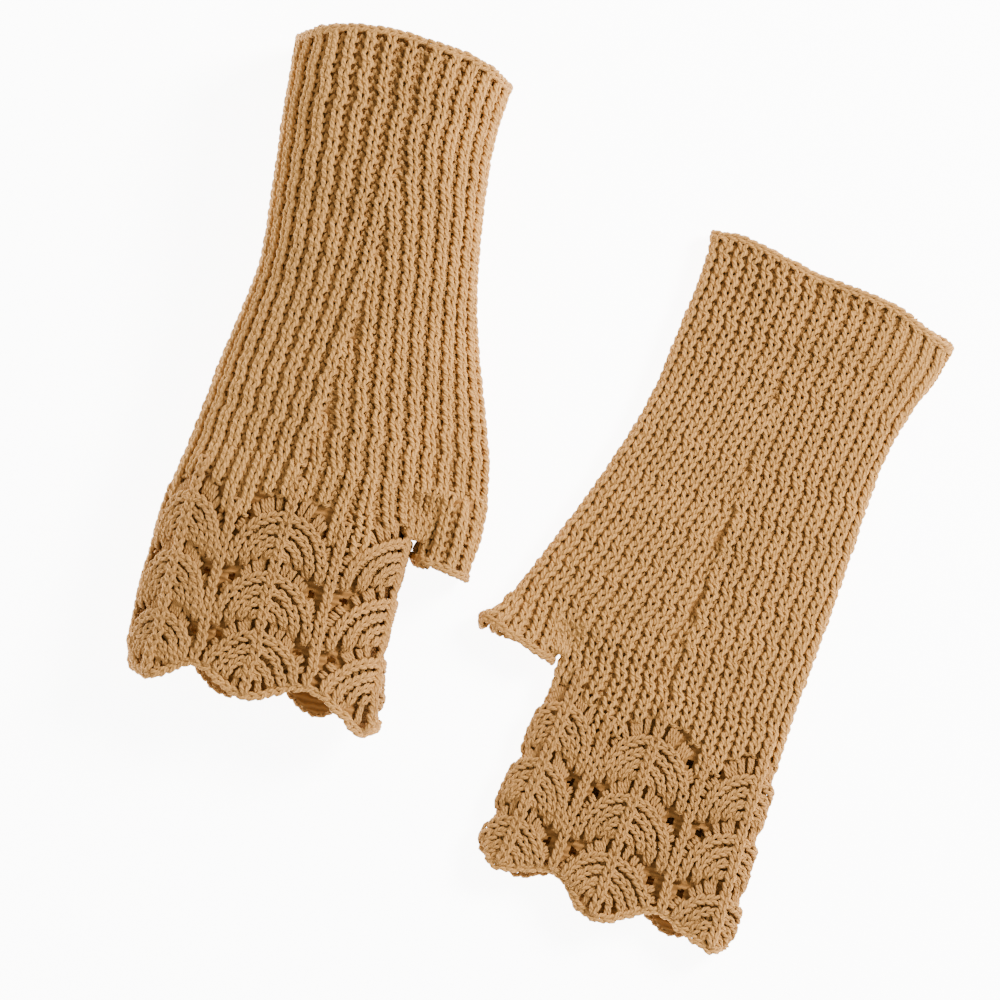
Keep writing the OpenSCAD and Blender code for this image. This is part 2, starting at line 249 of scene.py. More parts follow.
def skin(glove, names, start, end, line):
    """The net over a tube, with its outward directions and the lengths of its rings."""
    stations = np.arange(start, end + STATION, STATION)
    tree = search_tree(glove, names)
    rings = ray_rings(tree, stations, cross_sections(tree, stations))
    found = [even_ring(ring, np.interp(s, *zip(*line))) for s, ring in zip(stations, rings)]
    even = np.array([f[0] for f in found])
    along = np.broadcast_to(stations[:, None], even.shape[:2])
    net = np.stack([even[..., 0], along, even[..., 1]], 2)
    around = np.roll(net, -1, 1) - np.roll(net, 1, 1)
    out = np.cross(around, np.gradient(net, axis=0))
    out *= np.sign((out * (net - net.mean(1, keepdims=True))).sum(2, keepdims=True).mean())
    out = unit(out)
    plain = np.array([[f[k] for f in found] for k in (1, 2, 3)])
    soft = np.array([np.convolve(row, np.ones(5) / 5, "same") for row in plain])
    soft[:, :2], soft[:, -2:] = plain[:, :2], plain[:, -2:]
    return {"at": stations, "net": net, "out": out, "length": soft[0], "upper": soft[1], "lower": soft[2]}


# %% Places on a tube
def measure(tube, what, s):
    """A length of the tube's rings at any station."""
    return np.interp(s, tube["at"], tube[what])


def place(tube, arc, s, out):
    """Points on the tube at a length round it and a station, and their outward directions."""
    arc, s, out = np.broadcast_arrays(np.asarray(arc, float), s, out)
    u = np.mod(arc / measure(tube, "length", s), 1) * RING
    v = np.clip((s - tube["at"][0]) / STATION, 0, len(tube["at"]) - 1.001)
    j, i = u.astype(int) % RING, v.astype(int)
    fu, fv = (u - np.floor(u))[..., None], (v - i)[..., None]
    k = (j + 1) % RING

    def read(grid):
        low = grid[i, j] * (1 - fu) + grid[i, k] * fu
        high = grid[i + 1, j] * (1 - fu) + grid[i + 1, k] * fu
        return low * (1 - fv) + high * fv

    point, normal = read(tube["net"]), unit(read(tube["out"]))
    point[..., 1] = s
    return point + normal * out[..., None], normal


# %% The three tubes of each glove
SLEEVE = ["cast_on_edge", "cuff", "wrist", "back", "palm", "thumb_gusset"]
FINGERS = ["knuckles", "lace_back", "lace_palm", "scallops_back", "scallops_palm"]
THUMB = ["thumb", "thumb_hem"]
for hand, glove in GLOVES.items():
    sections = [[hand + "_" + n for n in group] for group in (SLEEVE, FINGERS, THUMB)]
    root = glove["root"]
    glove["sleeve"] = skin(glove, sections[0], -4, root, glove["line"])
    glove["fingers"] = skin(glove, sections[1], root - 2, glove["tip"] + 4, glove["line"])
    low, high = to_glove(glove, np.array([np.array(p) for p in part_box(hand + "_thumb")]))
    thumb_line = [(at, (low[0] + high[0]) / 2) for at in (0, 1)]
    glove["thumb"] = skin(glove, sections[2], root - 2, glove["hem"] + 4, thumb_line)
    for part in ("sleeve", "fingers", "thumb"):
        print(hand, part, "is", glove[part]["length"].round(0)[:3], "mm round at its start")

# %% [markdown]
# ## Yarn
# A strand is a thin tube swept along a list of points. Blender's bevelled curve gives the same shape, but
# not what the finish needs: this yarn has to know how far along it a point is, so that its plies twist
# evenly, and how deep in the fabric it lies, where the light hardly reaches, so that shade can be painted into
# its colour there. So the tube is built as a mesh, with a UV map for the first and an attribute for the
# second. Each ring is laid out from the fabric's outward direction.

# %% From strands to a mesh
SIDES = 6       # sides of the tube
UV_LENGTH = 10  # mm of yarn to one unit of the UV map


def strand(points, normals, radius, closed=False, painted_shade=0.0):
    """A strand: its points and outward directions in the frame, its radius, and its painted shade, 0 to 1."""
    radius = np.broadcast_to(np.asarray(radius, float), len(points)) * MM
    painted_shade = np.broadcast_to(np.asarray(painted_shade, float), len(points))
    points = points.copy()
    points[:, 2] = np.maximum(points[:, 2], radius)  # the yarn lies on the table, never in it
    return points, normals, radius, closed, painted_shade


def grid_quads(rows, columns, down, around):
    """Each quad of a net of down by around points: its row, its column and its four corners."""
    i, j = np.meshgrid(np.arange(rows), np.arange(columns), indexing="ij")
    i2, j2 = (i + 1) % down, (j + 1) % around
    quads = np.stack([i * around + j, i * around + j2, i2 * around + j2, i2 * around + j], 2)
    return i, j, quads.reshape(-1, 4)


def tube_of(points, normals, radius, closed, painted_shade):
    """The vertices, quads, UV corners and painted shade of one strand."""
    if closed:
        ahead, behind = np.roll(points, -1, 0), np.roll(points, 1, 0)
    else:
        ahead = np.concatenate([points[1:], points[-1:]])
        behind = np.concatenate([points[:1], points[:-1]])
    way = unit(ahead - behind)
    side = unit(np.cross(way, normals))
    up = np.cross(side, way)
    turn = np.arange(SIDES) * 2 * math.pi / SIDES
    spoke = np.cos(turn)[None, :, None] * up[:, None] + np.sin(turn)[None, :, None] * side[:, None]
    vertices = points[:, None] + spoke * radius[:, None, None]
    count = len(points)
    i, j, quads = grid_quads(count if closed else count - 1, SIDES, count, SIDES)
    steps = np.linalg.norm(np.diff(points, axis=0, append=points[:1]), axis=1)
    along = np.concatenate([[0], np.cumsum(steps)])
    u = np.stack([j, j + 1, j + 1, j], 2) / SIDES
    v = np.stack([along[i], along[i], along[i + 1], along[i + 1]], 2)
    corners = np.stack([u, v / MM / UV_LENGTH], 3).reshape(-1, 4, 2)
    if not closed:
        ends = np.array([[0, 3, 2, 1], [0, 5, 4, 3]])
        last = (count - 1) * SIDES
        ends = np.concatenate([ends, last + np.array([[0, 1, 2, 3], [0, 3, 4, 5]])])
        quads = np.concatenate([quads, ends])
        corners = np.concatenate([corners, np.full((4, 4, 2), 0.5)])
    return vertices.reshape(-1, 3), quads, corners, np.repeat(painted_shade, SIDES)


def add_object(name, mesh):
    """A new object of this mesh in the scene."""
    made = bpy.data.objects.new(name, mesh)
    bpy.context.scene.collection.objects.link(made)
    return made


def yarn_piece(name, strands):
    """One object made of all these strands."""
    parts = [tube_of(*s) for s in strands]
    starts = np.cumsum([0] + [len(p[0]) for p in parts[:-1]])
    vertices = np.concatenate([p[0] for p in parts])
    quads = np.concatenate([p[1] + start for p, start in zip(parts, starts)])
    mesh = bpy.data.meshes.new(name)
    mesh.vertices.add(len(vertices))
    mesh.vertices.foreach_set("co", vertices.astype(np.float32).ravel())
    mesh.loops.add(quads.size)
    mesh.loops.foreach_set("vertex_index", quads.astype(np.int32).ravel())
    mesh.polygons.add(len(quads))
    mesh.polygons.foreach_set("loop_start", np.arange(0, quads.size, 4, dtype=np.int32))
    uv = mesh.uv_layers.new(name="Yarn")
    uv.data.foreach_set("uv", np.concatenate([p[2] for p in parts]).astype(np.float32).ravel())
    # the depth attribute holds each point's painted shade: how much the finish darkens its colour
    depth = mesh.attributes.new("depth", "FLOAT", "POINT")
    depth.data.foreach_set("value", np.concatenate([p[3] for p in parts]).astype(np.float32))
    mesh.update()
    mesh.validate()
    mesh.shade_smooth()
    print(name, "has", len(strands), "strands and", 2 * len(quads), "triangles")
    return add_object(name, mesh)


# %% [markdown]
# ## One course of ribbing
# In one-by-one rib a knit stitch stands in front and the purl stitch beside it sinks to the back. Seen from
# outside, a knit stitch is a V whose point is towards the fingers, because these gloves were knitted from the
# lace to the cuff. Its yarn goes up one leg, round the head behind the next course, and down the other leg:
# twice as many waves sideways and in depth as along the hand. A purl stitch is the same loop the other way
# out.

# %% Where the ribs are
BIRTH = 0.42    # the part of a rib that has to fit before it is born
MOST_RIBS = 30  # more than a half panel ever has


def panel_counts(tube, at, rib):
    """How many ribs fit on the far side, and beside the thumb edge above and below, at a station."""
    upper, lower, whole = (measure(tube, k, at) for k in ("upper", "lower", "length"))
    return max(round((whole - upper - lower) / rib), 1), upper / rib, lower / rib


def rib_arc(tube, rib, s, share):
    """Where a rib is round the tube at station s. share holds ribs to a half panel, for both half panels."""
    side, k = rib
    upper, lower, whole = (measure(tube, key, s) for key in ("upper", "lower", "length"))
    if side == "far":
        return whole - (k + 0.5) * (whole - upper - lower) / share["far"]
    if side == "upper":
        return upper - (k + 0.5) * upper / np.interp(s, *share["upper"])
    return upper + (k + 0.5) * lower / np.interp(s, *share["lower"])


def ribs_at(s, share):
    """The ribs of the course at station s, in order from the gusset line past the thumb edge and round."""
    upper, lower = ([(side, k) for k in range(MOST_RIBS) if k + BIRTH <= np.interp(s, *share[side])]
                    for side in ("upper", "lower"))
    return upper[::-1] + lower + [("far", k) for k in reversed(range(share["far"]))]


# %% The path of a course
KNIT = np.linspace(-math.pi, math.pi, 15)
PURL = np.linspace(-math.pi, math.pi, 9)[1:-1]
KNIT_WOBBLE = (0.10, 0.14, 0.07, 0.04)  # mm sideways, along and outwards, and the share of the size
PURL_BULGE = 0.16
# DEEP sets the painted shade: yarn this far behind the front is painted fully dark
DEEP = 2.4                              # mm behind the front where no light comes
dice = np.random.default_rng(7)


def knit_loop(glove, tube, rib, s, share):
    """The points of a knit stitch: length round the tube, station and height."""
    form = glove["stitch"]
    wobble = dice.normal(0, 1, 4) * KNIT_WOBBLE
    grow = 1 + wobble[3]
    x = grow * (form["wide"] * KNIT / (2 * math.pi) + form["splay"] * np.sin(2 * KNIT)) + wobble[0]
    y = -form["tall"] * np.cos(KNIT) * grow + wobble[1]
    z = -form["lift"] * np.cos(2 * KNIT) + wobble[2]
    return np.stack([rib_arc(tube, rib, s + y, share) + x, s + y, z], 1)


def purl_loop(glove, tube, rib, after, s, share):
    """The points of the purl stitch between two ribs, sunk behind them."""
    form = glove["stitch"]
    y = -form["tall"] * np.cos(PURL)
    start = rib_arc(tube, rib, s + y, share) + form["wide"] / 2
    stop = rib_arc(tube, after, s + y, share) - form["wide"] / 2
    ring = measure(tube, "length", s)
    if stop.mean() < start.mean() - ring / 2:
        stop = stop + ring
    x = (start + stop) / 2 + (stop - start) * (PURL / (2 * math.pi) + PURL_BULGE * np.sin(2 * PURL))
    z = form["drop"] * np.cos(2 * PURL) - form["lift"] - form["drop"]
    return np.stack([x, s + y, z], 1)


def course(glove, tube, ribs, s, share, moved=None, closed=False, before=None, after=None):
    """The strand of one course over these ribs, with the purl stitches to the ribs before and after them."""
    form = glove["stitch"]
    points = [] if before is None else [purl_loop(glove, tube, before, ribs[0], s, share)]
    for n, rib in enumerate(ribs):
        points.append(knit_loop(glove, tube, rib, s, share))
        onward = ribs[n + 1] if n + 1 < len(ribs) else ribs[0] if closed else after
        if onward is not None:
            points.append(purl_loop(glove, tube, rib, onward, s, share))
    arc, at, lift = np.concatenate(points).T
    # painted shade: the deeper the yarn lies, the darker its colour
    painted_shade = np.clip(-lift / DEEP, 0, 1)
    if moved is not None:
        # how far the points leave their places: round the tube, along it and outwards
        shift = moved(arc, at, s)
        arc, at, lift = arc + shift[0], at + shift[1], lift + shift[2]
    spot, normal = place(tube, arc, at, lift - form["yarn"] - form["lift"])
    return strand(to_frame(glove, spot), turned(glove, normal), form["yarn"], closed, painted_shade)


# %% [markdown]
# ## How the lace is laid out
# Six columns of shells go round the fingers, three rows deep. A knitter makes a shell by increasing on either
# side of a spine and decreasing at its border, so the courses bow into arches, and the stitches between two
# arches stretch into bars that stand out like rays. Each shell is drawn in a system of its own: x is -1 and 1
# at its borders, and an ellipse round its focus gives the ridge, the arches inside it and the rays outside.

# %% The columns of shells
SHELL = 0.80  # the ridge's half width, as a share of the column's
RISE = 15.0   # mm from the ridge's top to the shell's focus


def arc_of(tube, r, s):
    """The length round the tube, from the gusset line, of a point r on the back."""
    reach = measure(tube, "upper", s) + 0.5 * measure(tube, "lower", s)
    arc = np.linspace(-reach, reach, 801)
    spot = place(tube, arc, np.full_like(arc, s), 0)[0]
    back = spot[:, 2] > spot[:, 2].max() * 0.45
    return arc[back][np.argmin(abs(spot[back, 0] - r))]


def shell_columns(glove):
    """Left border, spine and right border of the six columns, as shares of the way round."""
    tube, s = glove["fingers"], glove["apexes"][1]
    whole = measure(tube, "length", s)
    low, high = (arc_of(tube, r, s) for r in glove["sides"])
    spine_low, spine_high = (arc_of(tube, r, s) for r in glove["spines"])
    outer_low, outer_high = 2 * spine_low - low, 2 * spine_high - high
    rest = (whole + outer_low - outer_high) / 3
    columns = [(low, 0.0, high), (high, spine_high, outer_high), (outer_low, spine_low, low)]
    columns += [[outer_high + rest * (k + part) for part in (0, 0.5, 1)] for k in range(3)]
    return np.array(columns) / whole


def lobe(glove, column, x):
    """The station of the scalloped edge."""
    tip = glove["lobes"][column]
    return glove["notch"] + (tip - glove["notch"]) * (1 + np.cos(math.pi * np.clip(x, -1, 1))) / 2


def outer_size(phi, row):
    """How far the rays reach at an angle: the first row's are longest above the spine."""
    return (1.47 if row == 0 else 1.36) - 0.24 * (phi / 55) ** 2


def shell_spot(glove, column, x, s, out):
    """Points of a shell, and their outward directions, in the frame."""
    left, spine, right = glove["columns"][column]
    share = np.where(x > 0, spine + x * (right - spine), spine + x * (spine - left))
    tube = glove["fingers"]
    spot, normal = place(tube, share * measure(tube, "length", s), s, out)
    return to_frame(glove, spot), turned(glove, normal)


def half_width(glove, column, s):
    """Millimetres from a shell's spine to its border."""
    left, _, right = glove["columns"][column]
    return (right - left) / 2 * measure(glove["fingers"], "length", s)


for hand, glove in GLOVES.items():
    glove["columns"] = shell_columns(glove)
    widths = [round(2 * half_width(glove, k, 170), 1) for k in range(6)]
    print(hand, "glove's shells are", widths, "mm wide")

# %% [markdown]
# ## The ribbed sections
# Far from the thumb the number of ribs never changes, and they only spread and close with the glove. Beside
# the thumb new ribs are born at the gusset line as the hand widens. The courses are shared out to the pieces
# that move apart: cuff, wrist, hand, gusset, knuckles and thumb.

# %% How courses bend at the mouth and at the gusset line
MOUTH_REACH = 36.0  # mm from the mouth to where its courses run straight


def shorter_way(arc, ring):
    """Lengths round a ring, from minus half of it to plus half."""
    return np.mod(arc + ring / 2, ring) - ring / 2


def mouth(glove, tube):
    """How the courses near the mouth follow its edge, which is crowned, slanted and wavy."""
    ring = place(tube, np.linspace(0, measure(tube, "length", 0), 240), np.zeros(240), 0)[0]
    middle, half, top = ring[:, 0].mean(), np.ptp(ring[:, 0]) / 2, ring[:, 2].max()

    def moved(arc, at, s):
        spot = place(tube, arc, np.full_like(arc, max(s, 0.0)), 0)[0]
        x = np.clip((spot[:, 0] - middle) / half, -1, 1)
        back = np.clip(1.6 * spot[:, 2] / top - 0.5, 0, 1)
        edge = glove["mouth"] + glove["slant"] * x - glove["crown"] * (back * (1 - x * x))
        edge = edge + glove["drop"] * x ** 6 + glove["wave"] * np.sin(5.2 * x + 0.6) * back
        fade = max(0.0, 1 - s / MOUTH_REACH) ** 1.4
        return 0 * arc, fade * edge, raised_line(glove, tube, arc, at)
    return moved


def raised_line(glove, tube, arc, at):
    """The rib on the gusset line stands out, and the ribs born beside it come out from under it."""
    ring = measure(tube, "length", at)
    away = shorter_way(arc, ring)
    grown = np.clip((at - glove["line"][1][0]) / 12, 0, 1)
    line = np.exp(-((away + glove["rib"] / 2) / 1.9) ** 2)
    born = np.where(away > 0, np.exp(-away / 2.6), 0)
    return grown * (0.95 * line - 1.3 * born)


# %% Courses of the sleeve
FIRST = 1.0  # the station of the first course's edge


def crotch_reach(glove, tube, s):
    """The lengths round the tube from the thumb edge to where the gusset ends, above and below."""
    arc = np.linspace(0, measure(tube, "upper", s) + measure(tube, "lower", s), 241)
    r = place(tube, arc, np.full_like(arc, s), 0)[0][:, 0]
    beside = r > glove["crotch"] + 1.2
    edge = measure(tube, "upper", s)
    inside = arc[beside] if beside.any() else np.array([edge, edge])
    return edge - inside.min(), inside.max() - edge


def rib_share(tube, rib, start, end):
    """Ribs to each panel of a tube: as many all along the far side, and more and more beside the thumb."""
    far = round(np.mean([panel_counts(tube, s, rib)[0] for s in (10, 60, 120)]))
    first, last = (panel_counts(tube, at, rib)[1:] for at in (start, end))
    return {"far": far, "upper": ((start, end), (round(first[0]), round(last[0]))),
            "lower": ((start, end), (round(first[1]), round(last[1])))}


def course_stations(start, end, length, more=0):
    """The stations of the courses between two places, shared out evenly, and of some more beyond."""
    rows = round((end - start) / length)
    step = (end - start) / rows
    return [start + (n + 0.5) * step for n in range(rows + more)]


def sleeve_pieces(hand, glove):
    """The ribs of the cuff, the wrist, the hand and the gusset."""
    tube, rib = glove["sleeve"], glove["rib"]
    share = rib_share(tube, rib, 30, glove["root"])
    glove["share"] = share
    zones = {"cuff": [], "wrist": [], "hand": [], "gusset": []}
    glove["ribs"] = {zone: [] for zone in zones}
    moved = mouth(glove, tube)
    for s in course_stations(FIRST, glove["root"], glove["course"]):
        ribs = ribs_at(s, share)
        if s < glove["wrist"][1]:
            zone = "cuff" if s < glove["wrist"][0] else "wrist"
            zones[zone].append(course(glove, tube, ribs, s, share, moved, closed=True))
            glove["ribs"][zone].append(len(ribs))
            continue
        above, below = crotch_reach(glove, tube, s)
        edge = measure(tube, "upper", s)
        spots = [rib_arc(tube, rib, s, share) - edge for rib in ribs]
        inner = [k for k, spot in enumerate(spots) if -above < spot < below]
        first, last = min(inner), max(inner) + 1
        beside, rest = ribs[first:last], ribs[last:] + ribs[:first]
        zones["gusset"].append(course(glove, tube, beside, s, share, moved, before=rest[-1], after=rest[0]))
        zones["hand"].append(course(glove, tube, rest, s, share, moved))
        glove["ribs"]["gusset"].append(len(beside))
        glove["ribs"]["hand"].append(len(rest))
    return {zone: yarn_piece(f"{hand}_{zone}_ribs", strands) for zone, strands in zones.items()}


ribbed = {hand: sleeve_pieces(hand, glove) for hand, glove in GLOVES.items()}


# %% How courses bend at the root of the fingers and the thumb
def in_shell(glove, arc, s):
    """Whether a rib at this place has given way to the rays of the first row of shells."""
    tube = glove["fingers"]
    share = arc / measure(tube, "length", s)
    focus = glove["apexes"][0] + RISE
    for left, spine_at, right in glove["columns"]:
        for turn in (-1, 0, 1):
            x = share + turn - spine_at
            x /= (right - spine_at) if x > 0 else (spine_at - left)
            up, across = (focus - s) / RISE, x / SHELL
            phi = math.degrees(math.atan2(abs(across), up))
            if abs(x) <= 1 and math.hypot(up, across) < outer_size(min(phi, 80), 0) + 0.06:
                return True
    return s > focus - 7


def height_at(tube, r, s, back):
    """How high the tube's outside is at places r on station s, on its back or its underside."""
    spot = place(tube, np.linspace(0, measure(tube, "length", s), 481), np.full(481, s), 0)[0]
    rising = spot[:, 2] > (spot[:, 2].max() + spot[:, 2].min()) / 2
    side = spot[rising if back else ~rising]
    side = side[np.argsort(side[:, 0])]
    return np.interp(r, side[:, 0], side[:, 2])


def fading(at, start, length):
    """1 up to start, and 0 from a length beyond it."""
    return np.clip(1 - (at - start) / length, 0, 1)


def join_height(glove, tube):
    """How far a tube's outside has to rise at the root to carry on the sleeve's, by the share round it."""
    root = glove["root"]
    share = np.linspace(0, 1, 241)
    spot, normal = place(tube, share * measure(tube, "length", root), np.full(241, root), 0)
    middle = (spot[:, 2].max() + spot[:, 2].min()) / 2
    top, under = (height_at(glove["sleeve"], spot[:, 0], root - 0.5, back) for back in (True, False))
    wanted = np.where(spot[:, 2] > middle, top, under)
    rise = np.clip((wanted - spot[:, 2]) * normal[:, 2], -3, 3) * np.clip(abs(normal[:, 2]) * 2 - 0.4, 0, 1)
    rise = np.convolve(np.pad(rise, 6, "wrap"), np.ones(13) / 13, "valid")

    def lifted(arc, at):
        fade = fading(at, root, 9)
        return fade * fade * np.interp(np.mod(arc / measure(tube, "length", at), 1), share, rise)
    return lifted


def finger_bend(glove, tube):
    """The ribs beside the thumb are gathered to the crotch, and the fabric swells there to meet the thumb."""
    lifted = join_height(glove, tube)

    def moved(arc, at, s):
        edge, ring = measure(tube, "upper", at), measure(tube, "length", at)
        here = np.mod(arc + ring * 0.3, ring) - ring * 0.3
        border = glove["columns"][0][2] * ring
        span = 0.94 * edge - border
        u = np.clip((here - border) / span, 0, 1)
        pull = np.clip((at - glove["root"] + 2) / (glove["lace"] + 1 - glove["root"]), 0, 1) ** 1.5
        drawn = np.where((u > 0) & (u < 1), 0.75 * pull * span * u * (1 - u) * 1.5, 0)
        swell = 0.8 * np.exp(-((here - edge) / 6) ** 2) * np.clip((glove["lace"] + 2 - at) / 4, 0, 1)
        carried = np.where(here > 0, here * (glove["match"][0] - 1), here * (glove["match"][1] - 1))
        carried = np.where(here < -0.28 * ring, 0, np.clip(carried, -3, 3)) * fading(at, glove["root"], 12)
        out = raised_line(glove, tube, arc, at) + swell + lifted(arc, at)
        return drawn * glove["gather"] + carried, 0 * arc, out
    return moved


def thumb_bend(glove, tube, half):
    """The thumb swells on its inner side to meet the fingers, and its ribs start where the gusset's end."""
    lifted = join_height(glove, tube)
    root = glove["root"]
    spaced = measure(tube, "upper", root) / half
    match = measure(glove["sleeve"], "upper", root) / glove["share"]["upper"][1][1] / spaced

    def moved(arc, at, s):
        ring, edge = measure(tube, "length", at), measure(tube, "upper", at)
        inner = (edge + measure(tube, "lower", at) + ring) / 2
        away = shorter_way(arc - inner, ring)
        swell = 0.8 * np.exp(-(away / 7) ** 2) * np.clip((glove["lace"] + 1 - at) / 4, 0, 1)
        from_edge = shorter_way(arc - edge, ring)
        fade = fading(at, root, 10) * np.clip(1 - abs(from_edge) / (0.45 * ring), 0, 1)
        return from_edge * (match - 1) * fade, 0 * arc, swell + lifted(arc, at)
    return moved


# %% Courses of the fingers and the thumb
def rib_spacing(tube, s, upper, far):
    """Millimetres from rib to rib at a station, beside the thumb edge and on the far side."""
    above, below, whole = (measure(tube, k, s) for k in ("upper", "lower", "length"))
    return above / upper, (whole - above - below) / far


def finger_pieces(hand, glove):
    """The ribs between the thumb's root and the lace."""
    tube, start, end = glove["fingers"], glove["root"], glove["lace"]
    upper, lower = (round(n) for n in panel_counts(tube, start, glove["rib"])[1:])
    far = glove["share"]["far"]
    share = {"far": far, "upper": ((0, 1), (upper, upper)), "lower": ((0, 1), (lower, lower))}
    wanted = rib_spacing(glove["sleeve"], start, glove["share"]["upper"][1][1], far)
    spaced = rib_spacing(tube, start, upper, far)
    glove["match"] = wanted[0] / spaced[0], wanted[1] / spaced[1]
    print(hand, "rib spacing at the root, sleeve against fingers:", np.round(glove["match"], 3))
    zones = {"knuckle": [], "finger": []}
    bent = finger_bend(glove, tube)
    glove["ribs"]["knuckles"] = []
    for s in course_stations(start, end, glove["course"], more=4):
        ribs = ribs_at(s, share)
        if s < end:
            glove["ribs"]["knuckles"].append(len(ribs))
        kept = [not in_shell(glove, rib_arc(tube, rib, s, share), s) for rib in ribs]
        strands = zones["knuckle" if s < end else "finger"]
        if all(kept):
            strands.append(course(glove, tube, ribs, s, share, bent, closed=True))
            continue
        first = kept.index(False)
        ribs, kept = ribs[first:] + ribs[:first], kept[first:] + kept[:first]
        run = []
        for rib, keep in zip(ribs + [None], kept + [False]):
            if keep:
                run.append(rib)
            elif run:
                strands.append(course(glove, tube, run, s, share, bent))
                run = []
    return {zone + "s": yarn_piece(f"{hand}_{zone}_ribs", strands) for zone, strands in zones.items()}


def thumb_pieces(hand, glove):
    """The ribs of the thumb, which carry on those of the gusset."""
    tube, start, end = glove["thumb"], glove["root"], glove["hem"]
    half = round(measure(tube, "length", start) / glove["rib"] / 4)
    share = {"far": 2 * half, "upper": ((0, 1), (half, half)), "lower": ((0, 1), (half, half))}
    bent = thumb_bend(glove, tube, half)
    stations = course_stations(start, end - 1, glove["course"])
    strands = [course(glove, tube, ribs_at(s, share), s, share, bent, closed=True) for s in stations]
    glove["ribs"]["thumb"] = [4 * half] * len(strands)
    return {"thumb": yarn_piece(f"{hand}_thumb_ribs", strands)}


for hand, glove in GLOVES.items():
    ribbed[hand] |= finger_pieces(hand, glove) | thumb_pieces(hand, glove)

# %% [markdown]
# ## The parts of a shell
# A chain of stitches along a line makes the ridges, the arches, the spines and the bound edges: each stitch
# is again a V whose legs lie over the next one. The rays are single stretched loops, two legs side by side.

# %% Chains and rays
LOOP = np.linspace(-0.93 * math.pi, 0.93 * math.pi, 12)
CHAIN_WOBBLE = (0.09, 0.12, 0.05, 0.06)  # mm along, sideways and outwards, and the share of the size
LEG_APART = 0.48                         # mm from a ray's middle to each of its legs
SPINE_PITCH = 2.75                       # mm to a stitch of a spine


def chain(points, normals, wide, radius, pitch, lift=0.5):
    """Stitches along a line of points, each a V that points onwards."""
    length = np.concatenate([[0], np.cumsum(np.linalg.norm(np.diff(points, axis=0), axis=1))]) / MM
    side = unit(np.cross(np.gradient(points, axis=0), normals))
    rows = np.concatenate([points, side, normals], 1)
    count = max(round(length[-1] / pitch), 1)
    strands = []
    for k in range(count):
        wobble = dice.normal(0, 1, 4) * CHAIN_WOBBLE
        grow = 1 + wobble[3]
        at = (k + 0.5) * length[-1] / count - 0.78 * pitch * grow * np.cos(LOOP) + wobble[0]
        across = grow * wide * (LOOP / (2 * math.pi) + 0.27 * np.sin(2 * LOOP)) + wobble[1]
        over = -lift * np.cos(2 * LOOP) + wobble[2]
        at = np.clip(at, 0, length[-1])
        found = np.stack([np.interp(at, length, rows[:, c]) for c in range(9)], 1)
        line = found[:, :3] + MM * (found[:, 3:6] * across[:, None] + found[:, 6:] * over[:, None])
        # painted shade: darker where the loop dips under the next one
        painted_shade = np.clip(0.25 - 0.35 * over / lift, 0, 1)
        strands.append(strand(line, found[:, 6:], radius, painted_shade=painted_shade))
    return strands


def ridge(glove, column, focus, size, turn, wide, radius, pitch, out, limit=None):
    """A chain along an arch of a shell, from -turn to turn degrees."""
    strands = []
    for side in (-1, 1):
        phi = side * np.radians(np.linspace(3, turn, 31))
        x = SHELL * size * np.sin(phi)
        s = focus - RISE * size * np.cos(phi)
        if limit is not None:
            keep = s < lobe(glove, column, x) - limit
            x, s, phi = x[keep], s[keep], phi[keep]
        if len(x) < 5:
            continue
        dip = 0.9 * np.clip(abs(np.degrees(phi)) - 0.8 * turn, 0, 30) / 20
        points, normals = shell_spot(glove, column, x, s, out + glove["puff"] * (1 - 0.6 * size) - dip)
        strands += chain(points, normals, wide, radius, pitch, lift=0.42)
    return strands


def ray(glove, column, focus, phi, near, far, radius, out):
    """One stretched loop from the ridge outwards."""
    t = np.linspace(-1, 1, 8)
    size = near + (far - near) * (t + 1) / 2
    legs = []
    for side in (-1, 1):
        spread = side * (LEG_APART + 0.12 * t) / half_width(glove, column, focus)
        x = SHELL * size * math.sin(phi) + spread * math.cos(phi)
        s = focus - RISE * size * math.cos(phi) + side * LEG_APART * math.sin(phi)
        points, normals = shell_spot(glove, column, x, s, out - 1.1 * t ** 4)
        # painted shade: darker towards the ray's ends, where it dives in
        painted_shade = np.clip(0.15 + 0.6 * t ** 4, 0, 1)
        legs.append(strand(points, normals, radius * (1 - 0.25 * t ** 4), painted_shade=painted_shade))
    return legs


def spine(glove, column, x, start, end, wide, radius, out):
    """A column of knit stitches down a shell."""
    s = np.linspace(start, end, 60)
    points, normals = shell_spot(glove, column, np.full_like(s, x), s, out)
    return chain(points, normals, wide, radius, SPINE_PITCH)


# %% [markdown]
# ## The crotch of the thumb
# Between the thumb and the fingers the ribs of both run together into one point. That little web is a piece
# of its own, across the joint between the hand and the thumb.

# %% The web beside the thumb
WEB_LAYERS = ((0.0, (-1.5, -0.5, 0.5, 1.5)), (1.7, (-2, -1, 0, 1, 2)))  # mm deeper, and the ribs' places


def web_height(glove, r, s, back):
    """The web's height: a hammock from the fingers to the thumb, which starts level with the hand."""
    inner, outer = glove["crotch"] - 5.0, glove["crotch"] + 4.5
    low, high = (height_at(glove[part], at, s, back) for part, at in (("fingers", inner), ("thumb", outer)))
    t = np.clip((r - inner) / (outer - inner), 0, 1)
    sag = glove["sag"] * np.sin(math.pi * t)
    hung = low + (high - low) * t + (-sag if back else sag)
    level = height_at(glove["sleeve"], r, glove["root"] - 0.5, back)
    fade = fading(s, glove["root"], 8) ** 2
    return hung + (level - hung) * fade


